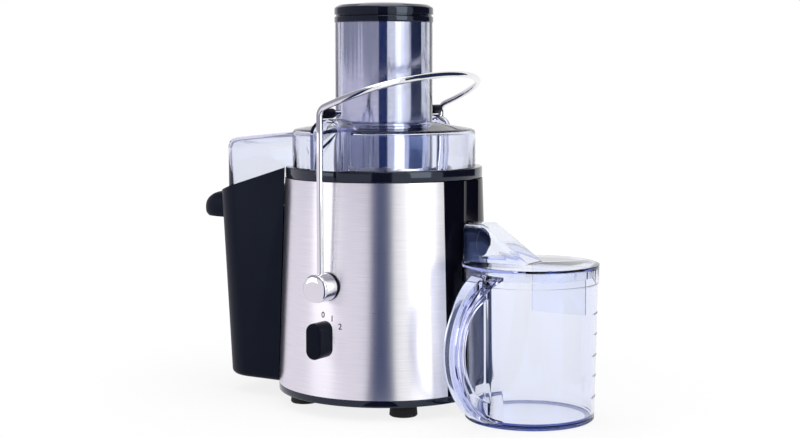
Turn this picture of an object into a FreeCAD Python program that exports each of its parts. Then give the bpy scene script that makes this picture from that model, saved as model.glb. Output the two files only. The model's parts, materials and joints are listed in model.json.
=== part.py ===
"""Centrifugal juicer: motor housing, juicing bowl, clear lid, locking bail, pulp bin and jug.

Millimetres. The pieces are drawn round the drive axis: +Z is up from the table, the knob faces -Y,
the jug stands at +X and the pulp bin at -X. Their files have the origin under the middle of the
whole machine's box, which is middle_x from the drive axis.
"""
import FreeCAD
import Part
import math
import os
import re
import Sketcher
from FreeCAD import Placement, Rotation, Vector

# Driving sizes

SIZES = {
    # housing
    "foot_rise": 12.0,
    "foot_r": 13.0,
    "foot_circle_r": 78.0,
    "foot_bevel": 1.0,
    "skirt_rise": 6.5,
    "base_r": 101.0,
    "taper": 7.0,
    "steel_rise": 195.5,
    "steel_gauge": 0.8,
    "steel_half_angle": 67.0,
    "wall": 3.0,
    "plate_gauge": 3.0,
    "deck_gauge": 4.0,
    "deck_drop": 78.0,
    "deck_hole_r": 17.0,
    "screw_circle_r": 84.0,
    "screw_angle": 62.0,
    "screw_r": 2.0,
    "screw_head_r": 3.6,
    "post_r": 5.0,
    "post_rise": 24.0,
    "vent_count": 10,
    "vent_long": 22.0,
    "vent_wide": 4.0,
    "vent_circle_r": 38.0,
    "gland_r": 7.0,
    "gland_bore_r": 3.8,
    "gland_height": 40.0,
    "flange_out": 2.0,
    "free_gap": 0.3,
    "snug": 0.1,
    "shaft_play": 0.05,
    # bowl, spout and top ring
    "ring_rise": 10.5,
    "ring_inset": 0.5,
    "ring_lip_over": 12.0,
    "bowl_inset": 14.0,
    "bowl_wall": 2.5,
    "hub_r": 15.0,
    "hub_rise": 26.0,
    "spout_r": 13.5,
    "spout_wall": 2.0,
    "spout_drop": 56.0,
    "spout_out": 7.0,
    # drive
    "shaft_r": 4.0,
    "shaft_foot": 24.0,
    "bearing_r": 11.0,
    "bearing_long": 8.0,
    "low_bearing_z": 42.0,
    "top_bearing_gap": 13.0,
    "stack_z": 62.0,
    "stack_headroom": 32.0,
    "stack_half": 37.0,
    "stack_bore_r": 21.0,
    "armature_r": 20.2,
    "coil_r": 30.0,
    "coil_rise": 8.0,
    "commutator_r": 12.0,
    "commutator_long": 9.0,
    "brush_wide": 8.0,
    "brush_long": 24.0,
    "fan_r": 32.0,
    "fan_rise": 9.0,
    "fan_blades": 10,
    "bracket_gauge": 3.0,
    "mount_r": 7.0,
    "mount_circle_r": 48.0,
    "coupling_r": 10.0,
    "coupling_long": 27.0,
    # filter basket and grater
    "grater_r": 50.0,
    "grater_gauge": 1.6,
    "basket_inset": 16.0,
    "basket_gauge": 1.2,
    "basket_rise": 46.0,
    "basket_slots": 24,
    "slot_wide": 3.0,
    "rim_out": 2.2,
    "rim_rise": 4.0,
    "tooth_rise": 1.6,
    "tooth_r": 1.3,
    "tooth_rows": 5,
    "tooth_first_r": 12.5,
    "tooth_pitch": 7.0,
    # lid and feed chute
    "lid_inset": 7.0,
    "lid_wall": 2.6,
    "lid_rise": 35.0,
    "lid_crown": 6.5,
    "lid_round": 6.0,
    "chute_r": 46.0,
    "chute_bore_r": 42.5,
    "chute_rise": 134.5,
    "chute_drop": 7.0,
    "collar_rise": 6.0,
    "collar_r": 46.7,
    "lug_half": 17.5,
    "lug_out": 12.0,
    "lug_shoulder": 13.0,
    "hood_half": 51.0,
    "hood_back": 10.0,
    "hood_rise_in": 33.0,
    "hood_rise_out": 19.5,
    "hood_round": 24.0,
    "hood_dip": 3.0,
    # pusher
    "sleeve_r": 40.0,
    "sleeve_wall": 1.0,
    "sleeve_lift": 6.0,
    "cap_rise": 7.5,
    "cap_dome": 5.5,
    # bail
    "rod_r": 3.0,
    "pivot_drop": 12.0,
    "leg_out": 10.63,
    "bend_rise": 55.5,
    "bend_r": 9.0,
    "arm_slope": 22.0,
    "apex_x": 77.0,
    "corner_r": 66.0,
    "corner_sweep": 66.0,
    "cap_r": 12.0,
    "cap_long": 20.0,
    "pin_r": 5.0,
    "pin_depth": 16.0,
    "bush_r": 8.0,
    "washer_r": 13.0,
    "washer_gauge": 1.4,
    "roller_r": 4.5,
    "roller_long": 17.0,
    "roller_rise": 51.5,
    "roller_pin_r": 3.0,
    "roller_pin_tip": 10.0,
    "cam_r": 8.5,
    "cam_gauge": 4.0,
    "interlock_wide": 20.0,
    "interlock_deep": 6.0,
    "interlock_rise": 12.0,
    # knob and switch
    "knob_share": 0.605,
    "knob_wide": 16.0,
    "knob_tall": 33.0,
    "knob_deep": 21.0,
    "knob_round": 2.5,
    "knob_gap": 1.2,
    "knob_shaft_r": 3.0,
    "switch_side": 26.0,
    "switch_deep": 22.0,
    # pulp bin
    "bin_depth": 66.0,
    "bin_half": 62.0,
    "bin_draft": 8.0,
    "bin_wall": 2.5,
    "bin_lift": 16.0,
    "ledge_reach": 16.0,
    "ledge_half": 26.0,
    "rim_drop_in": 7.5,
    "rim_drop_out": 29.5,
    "bin_back_drop": 28.0,
    "bin_round": 34.0,
    "bin_gap": 0.8,
    "lip_reach": 37.0,
    "lip_half": 30.0,
    "lip_tall": 28.0,
    "lip_sink": 2.0,
    "lip_wall": 3.0,
    "lip_nose": 24.0,
    "lip_brow": 12.0,
    # jug
    "jug_out": 55.0,
    "jug_base_r": 59.0,
    "jug_rim_r": 62.0,
    "jug_wall": 2.4,
    "jug_drop": 19.0,
    "jug_floor": 6.0,
    "jug_step_drop": 15.0,
    "jug_step": 1.2,
    "jug_gap": 0.8,
    "handle_bow": 46.0,
    "handle_turn": 12.0,
    "handle_deep": 13.0,
    "handle_wide": 20.0,
    "handle_web": 6.0,
    "handle_band": 4.0,
    "jug_lid_gauge": 2.4,
    "jug_skirt_rise": 8.0,
    "cover_half": 20.0,
    "cover_rise": 36.0,
    "cover_brow": 42.0,
    "cover_end": 6.0,
    "cover_wall": 2.0,
    "cover_round": 9.0,
    "froth_long": 52.0,
    "froth_drop": 41.0,
    "froth_gauge": 1.8,
    "froth_out": 2.0,
}

# Levels and places worked out from the driving sizes, as sums of named values

DERIVED = {
    "top_r": "base_r - taper",
    "skirt_top": "foot_rise + skirt_rise",
    "plate_top": "foot_rise + plate_gauge",
    "steel_top": "skirt_top + steel_rise",
    "ring_top": "steel_top + ring_rise",
    "ring_r": "top_r - ring_inset",
    "bowl_r": "top_r - bowl_inset",
    "ring_lip_r": "bowl_r - ring_lip_over",
    "basket_top_r": "bowl_r - basket_inset",
    "lid_r": "top_r - lid_inset",
    "lug_reach": "lid_r + lug_out",
    "spout_height": "steel_top - spout_drop",
    "spout_reach": "base_r + spout_out",
    "chute_top_z": "ring_top + chute_rise",
    "bend_z": "ring_top + bend_rise",
    "roller_z": "ring_top + roller_rise",
    "bin_end": "base_r + bin_depth",
    "bin_rim_in": "ring_top - rim_drop_in",
    "bin_rim_out": "ring_top - rim_drop_out",
    "bin_back_z": "steel_top - bin_back_drop",
    "lip_high": "bin_rim_out - lip_sink",
    "lip_low": "lip_high - lip_tall",
    "hood_end": "bin_end - hood_back",
    "hood_top_in": "ring_top + hood_rise_in",
    "hood_top_out": "ring_top + hood_rise_out",
    "jug_x": "base_r + jug_out",
    "jug_top_z": "spout_height - jug_drop",
    "cover_top_z": "jug_top_z + cover_rise",
    "cover_brow_x": "jug_x - cover_brow",
    "cover_end_x": "jug_x + cover_end",
    "froth_x": "jug_x + froth_out",
    "middle_x": "(jug_x + jug_rim_r - bin_end - lip_reach) / 2",
    "deck_top": "steel_top - deck_drop",
    "deck_low": "deck_top - deck_gauge",
    "pivot_z": "deck_low - pivot_drop",
    "pivot_share": "(pivot_z - skirt_top) / steel_rise",
    "leg_y": "base_r + pivot_share * (top_r - base_r) + leg_out",
    "knob_z": "pivot_z * knob_share",
    "stack_long": "deck_low - stack_z - stack_headroom",
    "low_bore_r": "base_r - steel_gauge - snug - wall",
    "top_bore_r": "top_r - steel_gauge - snug - wall",
    "deck_span": "deck_drop + deck_gauge",
    "deck_bore_r": "top_bore_r + deck_span * base_r / steel_rise - deck_span * top_r / steel_rise",
    "ring_shelf": "ring_top - bowl_wall",
    "recess_r": "jug_rim_r + jug_gap",
    "recess_wall_r": "recess_r + wall",
    "spout_bore_r": "spout_r - spout_wall",
    "bowl_floor": "spout_height - spout_bore_r",
    "bowl_under": "bowl_floor - bowl_wall",
    "bowl_bore_r": "bowl_r - bowl_wall",
    "hub_top": "bowl_floor + hub_rise",
    "bearing_bore_r": "shaft_r + shaft_play",
    "low_bearing_top": "low_bearing_z + bearing_long",
    "stack_top": "stack_z + stack_long",
    "commutator_z": "stack_top + coil_rise + 2 * snug",
    "commutator_top": "commutator_z + commutator_long",
    "top_bearing_z": "deck_low - top_bearing_gap",
    "top_bearing_top": "top_bearing_z + bearing_long",
    "coupling_z": "bowl_floor + 3",
    "coupling_top": "coupling_z + coupling_long",
    "shaft_top": "coupling_z + coupling_long / 2",
    "grater_z": "coupling_top + free_gap",
    "grater_top": "grater_z + grater_gauge",
    "basket_top": "grater_top + basket_rise",
    "lid_top": "ring_top + lid_rise",
    "chute_root": "lid_top + lid_crown",
    "chute_foot": "grater_top + chute_drop",
    "collar_top": "chute_top_z + collar_rise",
    "sleeve_foot": "chute_foot + sleeve_lift",
    "cap_top": "collar_top + cap_rise",
    "dome_top": "cap_top + cap_dome",
    "hump_top": "roller_z - roller_r - free_gap",
    "jug_step_z": "jug_top_z - jug_step_drop",
}

doc = FreeCAD.newDocument("juicer")
sheet = doc.addObject("Spreadsheet::Sheet", "Sizes")
for row, (alias, amount) in enumerate(SIZES.items(), 1):
    sheet.set(f"A{row}", alias)
    sheet.set(f"B{row}", str(amount))
    sheet.setAlias(f"B{row}", alias)
doc.recompute()
places = doc.addObject("App::VarSet", "Places")


def bound(text):
    """The sum as an expression on the sheet's cells and the derived places."""

    def owner(found):
        name = found.group(0)
        return f"Places.{name}" if name in DERIVED else f"Sizes.{name}"

    return re.sub(r"[A-Za-z_]\w*", owner, text)


for alias, rule in DERIVED.items():
    places.addProperty("App::PropertyFloat", alias)
    places.setExpression(alias, bound(rule))
doc.recompute()


def dim(name):
    """One named size, or a plain number written as text."""
    if name in SIZES:
        return float(sheet.get(name))
    if name in DERIVED:
        return getattr(places, name)
    return float(name)


def number(text):
    """Work out a sum of named values such as 'base_r - wall / 2'."""
    total = 0.0
    for sign, term in re.findall(r"([+-]?)\s*([^+\-]+)", text):
        amount = 1.0
        for step, factor in re.findall(r"([*/]?)\s*([\w.]+)", term):
            amount = amount / dim(factor) if step == "/" else amount * dim(factor)
        total += -amount if sign == "-" else amount
    return total


def housing_r(height):
    """The housing's outer radius at a height above the table."""
    share = (height - dim("skirt_top")) / dim("steel_rise")
    return dim("base_r") + share * (dim("top_r") - dim("base_r"))


def room_r(height):
    """The radius of the motor room inside the housing's wall at a height."""
    return housing_r(height) - dim("steel_gauge") - dim("snug") - dim("wall")


def reach_in_room(height, half):
    """How far from the axis a flat-ended piece of a half width may reach in the motor room."""
    return math.sqrt((room_r(height) - dim("free_gap")) ** 2 - half**2)


# Building blocks

AXIS_X = Vector(1, 0, 0)
AXIS_Y = Vector(0, 1, 0)
AXIS_Z = Vector(0, 0, 1)
ALONG_X = Rotation(AXIS_Y, 90)
ALONG_Y = Rotation(AXIS_X, -90)
UPRIGHT = Rotation()
count = 0


def fresh(stem):
    """A new inner object name."""
    global count
    count += 1
    return f"{stem}_{count}"


def bind(thing, **sums):
    """Bind properties of an object to sums of named sizes."""
    for prop, text in sums.items():
        thing.setExpression(prop.replace("__", "."), bound(text))
    return thing


def add_sketch(body, role, points, lift="0"):
    """A closed outline on an origin plane of the body, every corner bound to the sheet."""
    sketch = body.newObject("Sketcher::SketchObject", fresh("sketch"))
    plane = [face for face in body.Origin.OriginFeatures if face.Role == role][0]
    sketch.AttachmentSupport = (plane, [""])
    sketch.MapMode = "FlatFace"
    if lift != "0":
        sketch.setExpression("AttachmentOffset.Base.z", bound(lift))
    corners = [Vector(number(across), number(up), 0) for across, up in points]
    total = len(corners)
    for index, corner in enumerate(corners):
        sketch.addGeometry(Part.LineSegment(corner, corners[(index + 1) % total]), False)
    for index in range(total):
        sketch.addConstraint(Sketcher.Constraint("Coincident", index, 2, (index + 1) % total, 1))
    for index, (across, up) in enumerate(points):
        for kind, text, value, axis in (
            ("DistanceX", across, corners[index].x, -2),
            ("DistanceY", up, corners[index].y, -1),
        ):
            if text == "0":
                sketch.addConstraint(Sketcher.Constraint("PointOnObject", index, 1, axis))
                continue
            rule = sketch.addConstraint(Sketcher.Constraint(kind, -1, 1, index, 1, value))
            sketch.setExpression(f"Constraints[{rule}]", bound(text))
    return sketch


def turned(points, angle="", spin=0.0):
    """A body turned about Z from (radius, height) corners; angle limits it to a sector about +X."""
    body = doc.addObject("PartDesign::Body", fresh("turned"))
    sketch = add_sketch(body, "XZ_Plane", points)
    turn = body.newObject("PartDesign::Revolution", fresh("turn"))
    turn.Profile = sketch
    turn.ReferenceAxis = (sketch, ["V_Axis"])
    turn.Angle = 360
    if angle:
        turn.Midplane = True
        turn.setExpression("Angle", bound(angle))
        body.Placement = Placement(Vector(), Rotation(AXIS_Z, spin))
    return body


def rod(radius, long, at=("0", "0", "0"), way=UPRIGHT):
    """A cylinder bound to the sheet; at is its foot and way turns it off +Z."""
    shape = doc.addObject("Part::Cylinder", fresh("rod"))
    shape.Placement = Placement(Vector(), way)
    bind(shape, Radius=radius, Height=long)
    return set_place(shape, at)


def block(sides, at):
    """A box bound to the sheet, from its low corner."""
    shape = doc.addObject("Part::Box", fresh("block"))
    bind(shape, Length=sides[0], Width=sides[1], Height=sides[2])
    return set_place(shape, at)


def set_place(shape, at):
    """Bind where an object stands."""
    for axis, text in zip("xyz", at):
        shape.setExpression(f"Placement.Base.{axis}", bound(text))
    return shape


def fixed(shape):
    """A shape made with geometry functions, kept as an object."""
    thing = doc.addObject("Part::Feature", fresh("form"))
    thing.Shape = shape
    return thing


def ring_of(thing, copies, first, radius, height):
    """Copies of an upright object on a circle, first at an angle in degrees."""
    made = []
    for index in range(int(copies)):
        angle = math.radians(first + index * 360.0 / copies)
        copy = doc.addObject("Part::Feature", fresh("copy"))
        copy.Shape = thing.Shape
        place = Vector(radius * math.cos(angle), radius * math.sin(angle), height)
        copy.Placement = Placement(place, Rotation(AXIS_Z, math.degrees(angle)))
        made.append(copy)
    return made


def join(things):
    """The things as one solid."""
    fuse = doc.addObject("Part::MultiFuse", fresh("fuse"))
    fuse.Shapes = things
    fuse.Refine = True
    doc.recompute()
    return fuse


def cut(base, tools):
    """The base without the tools."""
    for tool in tools:
        less = doc.addObject("Part::Cut", fresh("cut"))
        less.Base = base
        less.Tool = tool
        less.Refine = True
        base = less
    doc.recompute()
    return base


def meet(first, second):
    """What two things share."""
    both = doc.addObject("Part::Common", fresh("meet"))
    both.Base = first
    both.Tool = second
    doc.recompute()
    return both


def rounded(thing, radius, chosen):
    """Round the edges that a test picks by their middle point."""
    doc.recompute()
    fillet = doc.addObject("Part::Fillet", fresh("fillet"))
    fillet.Base = thing
    size = number(radius)
    picked = []
    for index, edge in enumerate(thing.Shape.Edges, 1):
        middle = edge.valueAt((edge.FirstParameter + edge.LastParameter) / 2)
        if chosen(edge, middle):
            picked.append((index, size, size))
    fillet.Edges = picked
    doc.recompute()
    return fillet


parts = {}


def node(label, thing):
    """Keep an object as one of the assembly's nodes."""
    doc.recompute()
    thing.Label = label
    parts[label] = thing
    return thing


def near(value, other, within=0.05):
    """Whether two lengths agree."""
    return abs(value - other) < within


# Housing, steel wraps, base plate and feet


def steel_band(gap, reach):
    """The sheet's room in the housing, or the sheet itself, as a (radius, height) outline."""
    return [
        (f"base_r - steel_gauge - {gap}", "skirt_top"),
        (f"base_r + {reach}", "skirt_top"),
        (f"top_r + {reach}", "steel_top"),
        (f"top_r - steel_gauge - {gap}", "steel_top"),
    ]


def jug_recess(radius):
    """The upright hollow that lets the jug stand close."""
    return rod(radius, "steel_top", ("jug_x", "0", "0"))


def build_housing():
    """The moulded shell with its deck, spout slot, screw posts and shaft holes."""
    outer = turned(
        [("0", "skirt_top"), ("base_r", "skirt_top"), ("top_r", "steel_top"), ("0", "steel_top")]
    )
    low = turned(
        [
            ("0", "skirt_top - wall"),
            ("low_bore_r", "skirt_top - wall"),
            ("deck_bore_r", "deck_low"),
            ("0", "deck_low"),
        ]
    )
    high = turned(
        [
            ("0", "deck_top"),
            ("top_bore_r", "deck_top"),
            ("top_bore_r", "steel_top + wall"),
            ("0", "steel_top + wall"),
        ]
    )
    rooms = [cut(room, [jug_recess("recess_wall_r")]) for room in (low, high)]
    bands = []
    for spin in (-90, 90):
        bands.append(turned(steel_band("snug", "wall"), "2 * steel_half_angle + snug", spin))
    pivot_y = f"{-housing_r(dim('pivot_z')) - dim('wall')}"
    holes = [
        rod("deck_hole_r", "deck_drop", ("0", "0", "deck_low - wall")),
        rod("bush_r + snug", f"{-2 * float(pivot_y)}", ("0", pivot_y, "pivot_z"), ALONG_Y),
        rod("knob_shaft_r + free_gap + snug", "base_r", ("0", "0 - base_r", "knob_z"), ALONG_Y),
        rod("gland_r + snug", "base_r", ("0", "wall", "gland_height"), ALONG_Y),
        rod("spout_r + free_gap", "base_r", ("0", "0", "spout_height"), ALONG_X),
        block(
            ("base_r", "2 * spout_r + 2 * free_gap", "steel_rise"),
            ("0", "0 - spout_r - free_gap", "spout_height"),
        ),
    ]
    shell = cut(outer, [jug_recess("recess_r")] + rooms + bands + holes)
    post = rod("post_r", "post_rise", ("0", "0", "0"))
    pilot = rod("screw_r + snug", "post_rise", ("0", "0", "0 - wall"))
    doc.recompute()
    column = cut(post, [pilot])
    posts = []
    for angle in screw_angles():
        posts += ring_of(column, 1, angle, dim("screw_circle_r"), dim("skirt_top"))
    ribs = []
    for angle in screw_angles():
        rib = block(("base_r", "wall", "post_rise"), ("0", "0 - wall / 2", "0"))
        doc.recompute()
        start = number("screw_circle_r + post_r - wall / 3")
        ribs += ring_of(rib, 1, angle, start, dim("skirt_top"))
    inside = turned(
        [
            ("0", "skirt_top"),
            ("base_r - steel_gauge - wall / 2", "skirt_top"),
            ("top_r - steel_gauge - wall / 2", "steel_top"),
            ("0", "steel_top"),
        ]
    )
    node("housing", join([shell] + posts + [meet(rib, inside) for rib in ribs]))


def screw_angles():
    """Where the base screws stand round the axis, in degrees."""
    lean = dim("screw_angle")
    return [lean, 180 - lean, 180 + lean, 360 - lean]


def build_wraps():
    """The steel sheets on the front and the back."""
    front = turned(steel_band("0", "0"), "2 * steel_half_angle", -90)
    back = turned(steel_band("0", "0"), "2 * steel_half_angle", 90)
    front_holes = [
        rod("bush_r + snug", "base_r", ("0", "0 - base_r - wall", "pivot_z"), ALONG_Y),
        rod("knob_shaft_r + free_gap + snug", "base_r", ("0", "0 - base_r - wall", "knob_z"), ALONG_Y),
    ]
    back_holes = [
        rod("bush_r + snug", "base_r", ("0", "wall", "pivot_z"), ALONG_Y),
        rod("gland_r + snug", "base_r", ("0", "wall", "gland_height"), ALONG_Y),
    ]
    node("steel_front", cut(front, front_holes))
    node("steel_back", cut(back, back_holes))


def build_base():
    """The base plate with its vents and the bin's ledge, the feet, the screws and the cord's gland."""
    plate = turned(
        [
            ("0", "foot_rise"),
            ("base_r", "foot_rise"),
            ("base_r", "skirt_top"),
            ("base_r - 2 * wall", "skirt_top"),
            ("base_r - 2 * wall", "plate_top"),
            ("0", "plate_top"),
        ]
    )
    vent = block(("vent_long", "vent_wide", "4 * wall"), ("0 - vent_long / 2", "0 - vent_wide / 2", "0"))
    bore = rod("screw_r + snug", "4 * wall")
    sink = rod("screw_head_r + snug", "plate_gauge")
    doc.recompute()
    low = dim("foot_rise")
    under = low - dim("wall")
    tools = ring_of(vent, dim("vent_count"), 0, dim("vent_circle_r"), under)
    for angle in screw_angles():
        tools += ring_of(bore, 1, angle, dim("screw_circle_r"), under)
        tools += ring_of(sink, 1, angle, dim("screw_circle_r"), low - number("plate_gauge / 2"))
    pads = []
    boss = rod("post_r", "skirt_rise - plate_gauge")
    doc.recompute()
    hollow = cut(boss, [rod("screw_r + snug", "4 * wall")])
    for angle in screw_angles():
        pads += ring_of(hollow, 1, angle, dim("screw_circle_r"), dim("plate_top"))
    ledge = cut(
        block(
            ("base_r + ledge_reach", "2 * ledge_half", "bin_lift - foot_rise"),
            ("0 - base_r - ledge_reach", "0 - ledge_half", "foot_rise"),
        ),
        [upright_rod("base_r - wall")],
    )
    node("base_plate", join([cut(plate, [jug_recess("recess_r")] + tools), ledge] + pads))
    foot = turned(
        [
            ("0", "0"),
            ("foot_r - foot_bevel", "0"),
            ("foot_r", "foot_bevel"),
            ("foot_r - foot_bevel", "foot_rise"),
            ("0", "foot_rise"),
        ]
    )
    doc.recompute()
    node("rubber_feet", join(ring_of(foot, 4, 45, dim("foot_circle_r"), 0)))
    screw = turned(
        [
            ("0", "0"),
            ("screw_head_r", "0"),
            ("screw_head_r", "plate_gauge / 2"),
            ("screw_r", "plate_gauge / 2"),
            ("screw_r", "post_rise - wall"),
            ("0", "post_rise - wall"),
        ]
    )
    doc.recompute()
    screws = []
    for angle in screw_angles():
        screws += ring_of(screw, 1, angle, dim("screw_circle_r"), dim("foot_rise"))
    node("base_screws", join(screws))
    face = housing_r(dim("gland_height"))
    sleeve = rod("gland_r", "3 * wall", ("0", f"{face - 2 * dim('wall')}", "gland_height"), ALONG_Y)
    flange_y = housing_r(number("gland_height - gland_r - flange_out")) + dim("snug")
    flange = rod("gland_r + flange_out", "flange_out", ("0", f"{flange_y}", "gland_height"), ALONG_Y)
    bore = rod("gland_bore_r", "base_r", ("0", "wall", "gland_height"), ALONG_Y)
    node("cord_gland", cut(join([sleeve, flange]), [bore]))


# Motor and drive


def build_motor():
    """The stator, coils, brackets, bearings, brushes, mounts and screws."""
    half = dim("stack_half")
    stack = block(
        ("2 * stack_half", "2 * stack_half", "stack_long"),
        ("0 - stack_half", "0 - stack_half", "stack_z"),
    )
    soft = rounded(stack, "wall * 3", lambda edge, at: near(abs(at.x), half) and near(abs(at.y), half))
    bolts = ring_of(made(rod("screw_r + snug", "stack_long")), 4, 45, bolt_r(), dim("stack_z"))
    bore = rod("stack_bore_r", "2 * stack_long", ("0", "0", "stack_z - wall"))
    node("motor_stator", cut(soft, [bore] + bolts))
    coils = []
    for low in ("stack_z - coil_rise", "stack_top"):
        coil = turned(
            [
                ("stack_bore_r + wall / 3", low),
                ("coil_r", low),
                ("coil_r", f"{low} + coil_rise"),
                ("stack_bore_r + wall / 3", f"{low} + coil_rise"),
            ]
        )
        coils.append(rounded(coil, "wall / 2", lambda edge, at: True))
    node("motor_coils", join(coils))
    build_bracket("motor_bracket_low", "low_bearing_z", "stack_z", False)
    build_bracket("motor_bracket_top", "top_bearing_z", "stack_top", True)
    for label, low, high in (
        ("bearing_low", "low_bearing_z", "low_bearing_top"),
        ("bearing_top", "top_bearing_z", "top_bearing_top"),
    ):
        inner = [("bearing_bore_r", high), ("bearing_bore_r", low)]
        node(label, turned(inner + [("bearing_r", low), ("bearing_r", high)]))
    middle = number("commutator_z + commutator_long / 2")
    brushes = []
    for side in (1, -1):
        start = side * (dim("commutator_r") + dim("free_gap"))
        far = start + side * dim("brush_long")
        step = far - side * dim("brush_wide")
        low = f"{middle} - brush_wide / 2"
        brush = ("brush_long", "brush_wide", "brush_wide")
        brushes.append(block(brush, (f"{min(start, far)}", "0 - brush_wide / 2", low)))
        rise = f"top_bearing_top - bracket_gauge - {middle} + brush_wide / 2"
        post = ("brush_wide", "brush_wide", rise)
        brushes.append(block(post, (f"{min(step, far)}", "0 - brush_wide / 2", low)))
    node("brush_holders", join(brushes))
    mount = turned(
        [
            ("screw_r + snug", "0"),
            ("mount_r", "0"),
            ("mount_r", "deck_low - top_bearing_top"),
            ("screw_r + snug", "deck_low - top_bearing_top"),
        ]
    )
    doc.recompute()
    node("motor_mounts", join(ring_of(mount, 4, 0, dim("mount_circle_r"), dim("top_bearing_top"))))
    screw = turned(
        [
            ("0", "0 - wall"),
            ("screw_head_r", "0 - wall"),
            ("screw_head_r", "0"),
            ("screw_r", "0"),
            ("screw_r", "deck_low - top_bearing_top + bracket_gauge"),
            ("0", "deck_low - top_bearing_top + bracket_gauge"),
        ]
    )
    doc.recompute()
    height = number("top_bearing_top - bracket_gauge")
    node("motor_screws", join(ring_of(screw, 4, 0, dim("mount_circle_r"), height)))


def made(thing):
    """The thing, once it has its shape."""
    doc.recompute()
    return thing


def bolt_r():
    """The stack bolts' circle, inside the stack's rounded corners."""
    return dim("stack_half") * math.sqrt(2) - 2.5 * dim("screw_head_r")


def build_bracket(label, bearing_z, seat, at_top):
    """A bearing bridge across the stack, with its cup, arms and legs."""
    flat = f"{bearing_z} + bearing_long - bracket_gauge" if at_top else bearing_z
    arms = []
    angles = (0, 90, 180, 270) if at_top else (45, 135, 225, 315)
    reach = dim("mount_circle_r") + dim("mount_r") if at_top else bolt_r() + dim("screw_head_r")
    leg_r = bolt_r()
    for angle in angles:
        sides = (f"{reach}", "3 * bracket_gauge", "bracket_gauge")
        arm = made(block(sides, ("0", "0 - 3 * bracket_gauge / 2", "0")))
        arms += ring_of(arm, 1, angle, 0, number(flat))
    cup = rod("bearing_r + bracket_gauge", "bearing_long", ("0", "0", bearing_z))
    low, high = sorted((number(flat), number(seat)))
    legs = []
    for angle in (45, 135, 225, 315):
        leg = rod("screw_head_r", f"{high - low}")
        doc.recompute()
        legs += ring_of(leg, 1, angle, leg_r, low)
        if at_top:
            sides = (f"{leg_r}", "2 * bracket_gauge", "bracket_gauge")
            arm = made(block(sides, ("0", "0 - bracket_gauge", "0")))
            arms += ring_of(arm, 1, angle, 0, number(flat))
    whole = join([cup] + arms + legs)
    tools = [rod("bearing_r + snug", "2 * bearing_long", ("0", "0", f"{bearing_z} - bearing_long / 2"))]
    if at_top:
        hole = made(rod("screw_r + snug", "deck_drop"))
        tools += ring_of(hole, 4, 0, dim("mount_circle_r"), dim("stack_top"))
    node(label, cut(whole, tools))


def build_rotor():
    """Everything on the shaft below the bowl: shaft, armature, commutator, fan and coupling."""
    node("rotor_shaft", rod("shaft_r", "shaft_top - shaft_foot", ("0", "0", "shaft_foot")))
    packet = cut(
        rod("armature_r", "stack_long", ("0", "0", "stack_z")),
        [rod("shaft_r + snug", "deck_drop", ("0", "0", "stack_z - wall"))],
    )
    groove = block(("2 * wall", "wall / 2", "2 * stack_long"), ("0 - wall", "0 - wall / 4", "0"))
    doc.recompute()
    node("armature", cut(packet, ring_of(groove, 12, 0, dim("armature_r"), number("stack_z - wall"))))
    node(
        "commutator",
        turned(
            [
                ("shaft_r + snug", "stack_top"),
                ("armature_r - wall", "stack_top"),
                ("armature_r - wall", "commutator_z - wall"),
                ("commutator_r", "commutator_z"),
                ("commutator_r", "commutator_top"),
                ("shaft_r + snug", "commutator_top"),
            ]
        ),
    )
    disc = turned(
        [
            ("shaft_r + snug", "shaft_foot"),
            ("fan_r", "shaft_foot"),
            ("fan_r", "shaft_foot + wall / 2"),
            ("shaft_r + 2 * wall", "shaft_foot + wall / 2"),
            ("shaft_r + 2 * wall", "shaft_foot + fan_rise"),
            ("shaft_r + snug", "shaft_foot + fan_rise"),
        ]
    )
    blade = block(
        ("fan_r - shaft_r - 3 * wall", "wall / 2", "fan_rise - wall / 2"), ("0", "0 - wall / 4", "0")
    )
    doc.recompute()
    start = number("shaft_r + 2 * wall")
    sunk = start - number("wall / 4")
    blades = ring_of(blade, dim("fan_blades"), 0, sunk, number("shaft_foot + wall / 2"))
    node("cooling_fan", join([disc] + blades))
    drive = rod("coupling_r", "coupling_long", ("0", "0", "coupling_z"))
    flute = rod("wall", "coupling_long", ("0", "0", "0"))
    doc.recompute()
    flutes = ring_of(flute, 6, 0, number("coupling_r + wall / 2"), dim("coupling_z"))
    socket = rod("shaft_r + snug", "coupling_long / 2 + free_gap", ("0", "0", "coupling_z"))
    node("drive_coupling", cut(drive, flutes + [socket]))


def build_basket():
    """The filter basket's slotted wall and rim, and the toothed grater disc."""
    wall = turned(
        [
            ("grater_r", "grater_top"),
            ("grater_r + basket_gauge", "grater_top"),
            ("basket_top_r + basket_gauge", "basket_top"),
            ("basket_top_r", "basket_top"),
        ]
    )
    sides = ("basket_top_r", "slot_wide", "basket_rise - 2 * rim_rise")
    slot = made(block(sides, ("0", "0 - slot_wide / 2", "0")))
    low = dim("grater_top") + dim("rim_rise")
    start = dim("grater_r") - dim("wall")
    node("basket_wall", cut(wall, ring_of(slot, dim("basket_slots"), 0, start, low)))
    node(
        "basket_rim",
        turned(
            [
                ("basket_top_r - rim_out / 2", "basket_top"),
                ("basket_top_r + rim_out", "basket_top"),
                ("basket_top_r + rim_out", "basket_top + rim_rise"),
                ("basket_top_r - rim_out / 2", "basket_top + rim_rise"),
            ]
        ),
    )
    disc = turned(
        [
            ("0", "grater_z"),
            ("grater_r + basket_gauge", "grater_z"),
            ("grater_r + basket_gauge", "grater_top"),
            ("0", "grater_top"),
        ]
    )
    tooth = doc.addObject("Part::Cone", fresh("tooth"))
    bind(tooth, Radius1="tooth_r", Radius2="tooth_r / 4", Height="tooth_rise")
    doc.recompute()
    teeth = []
    for row in range(int(dim("tooth_rows"))):
        radius = dim("tooth_first_r") + row * dim("tooth_pitch")
        teeth += ring_of(tooth, 8 + 4 * row, 9 * row, radius, dim("grater_top"))
    node("grater_disc", join([disc] + teeth))


# Bowl, top ring and shaft seal


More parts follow.
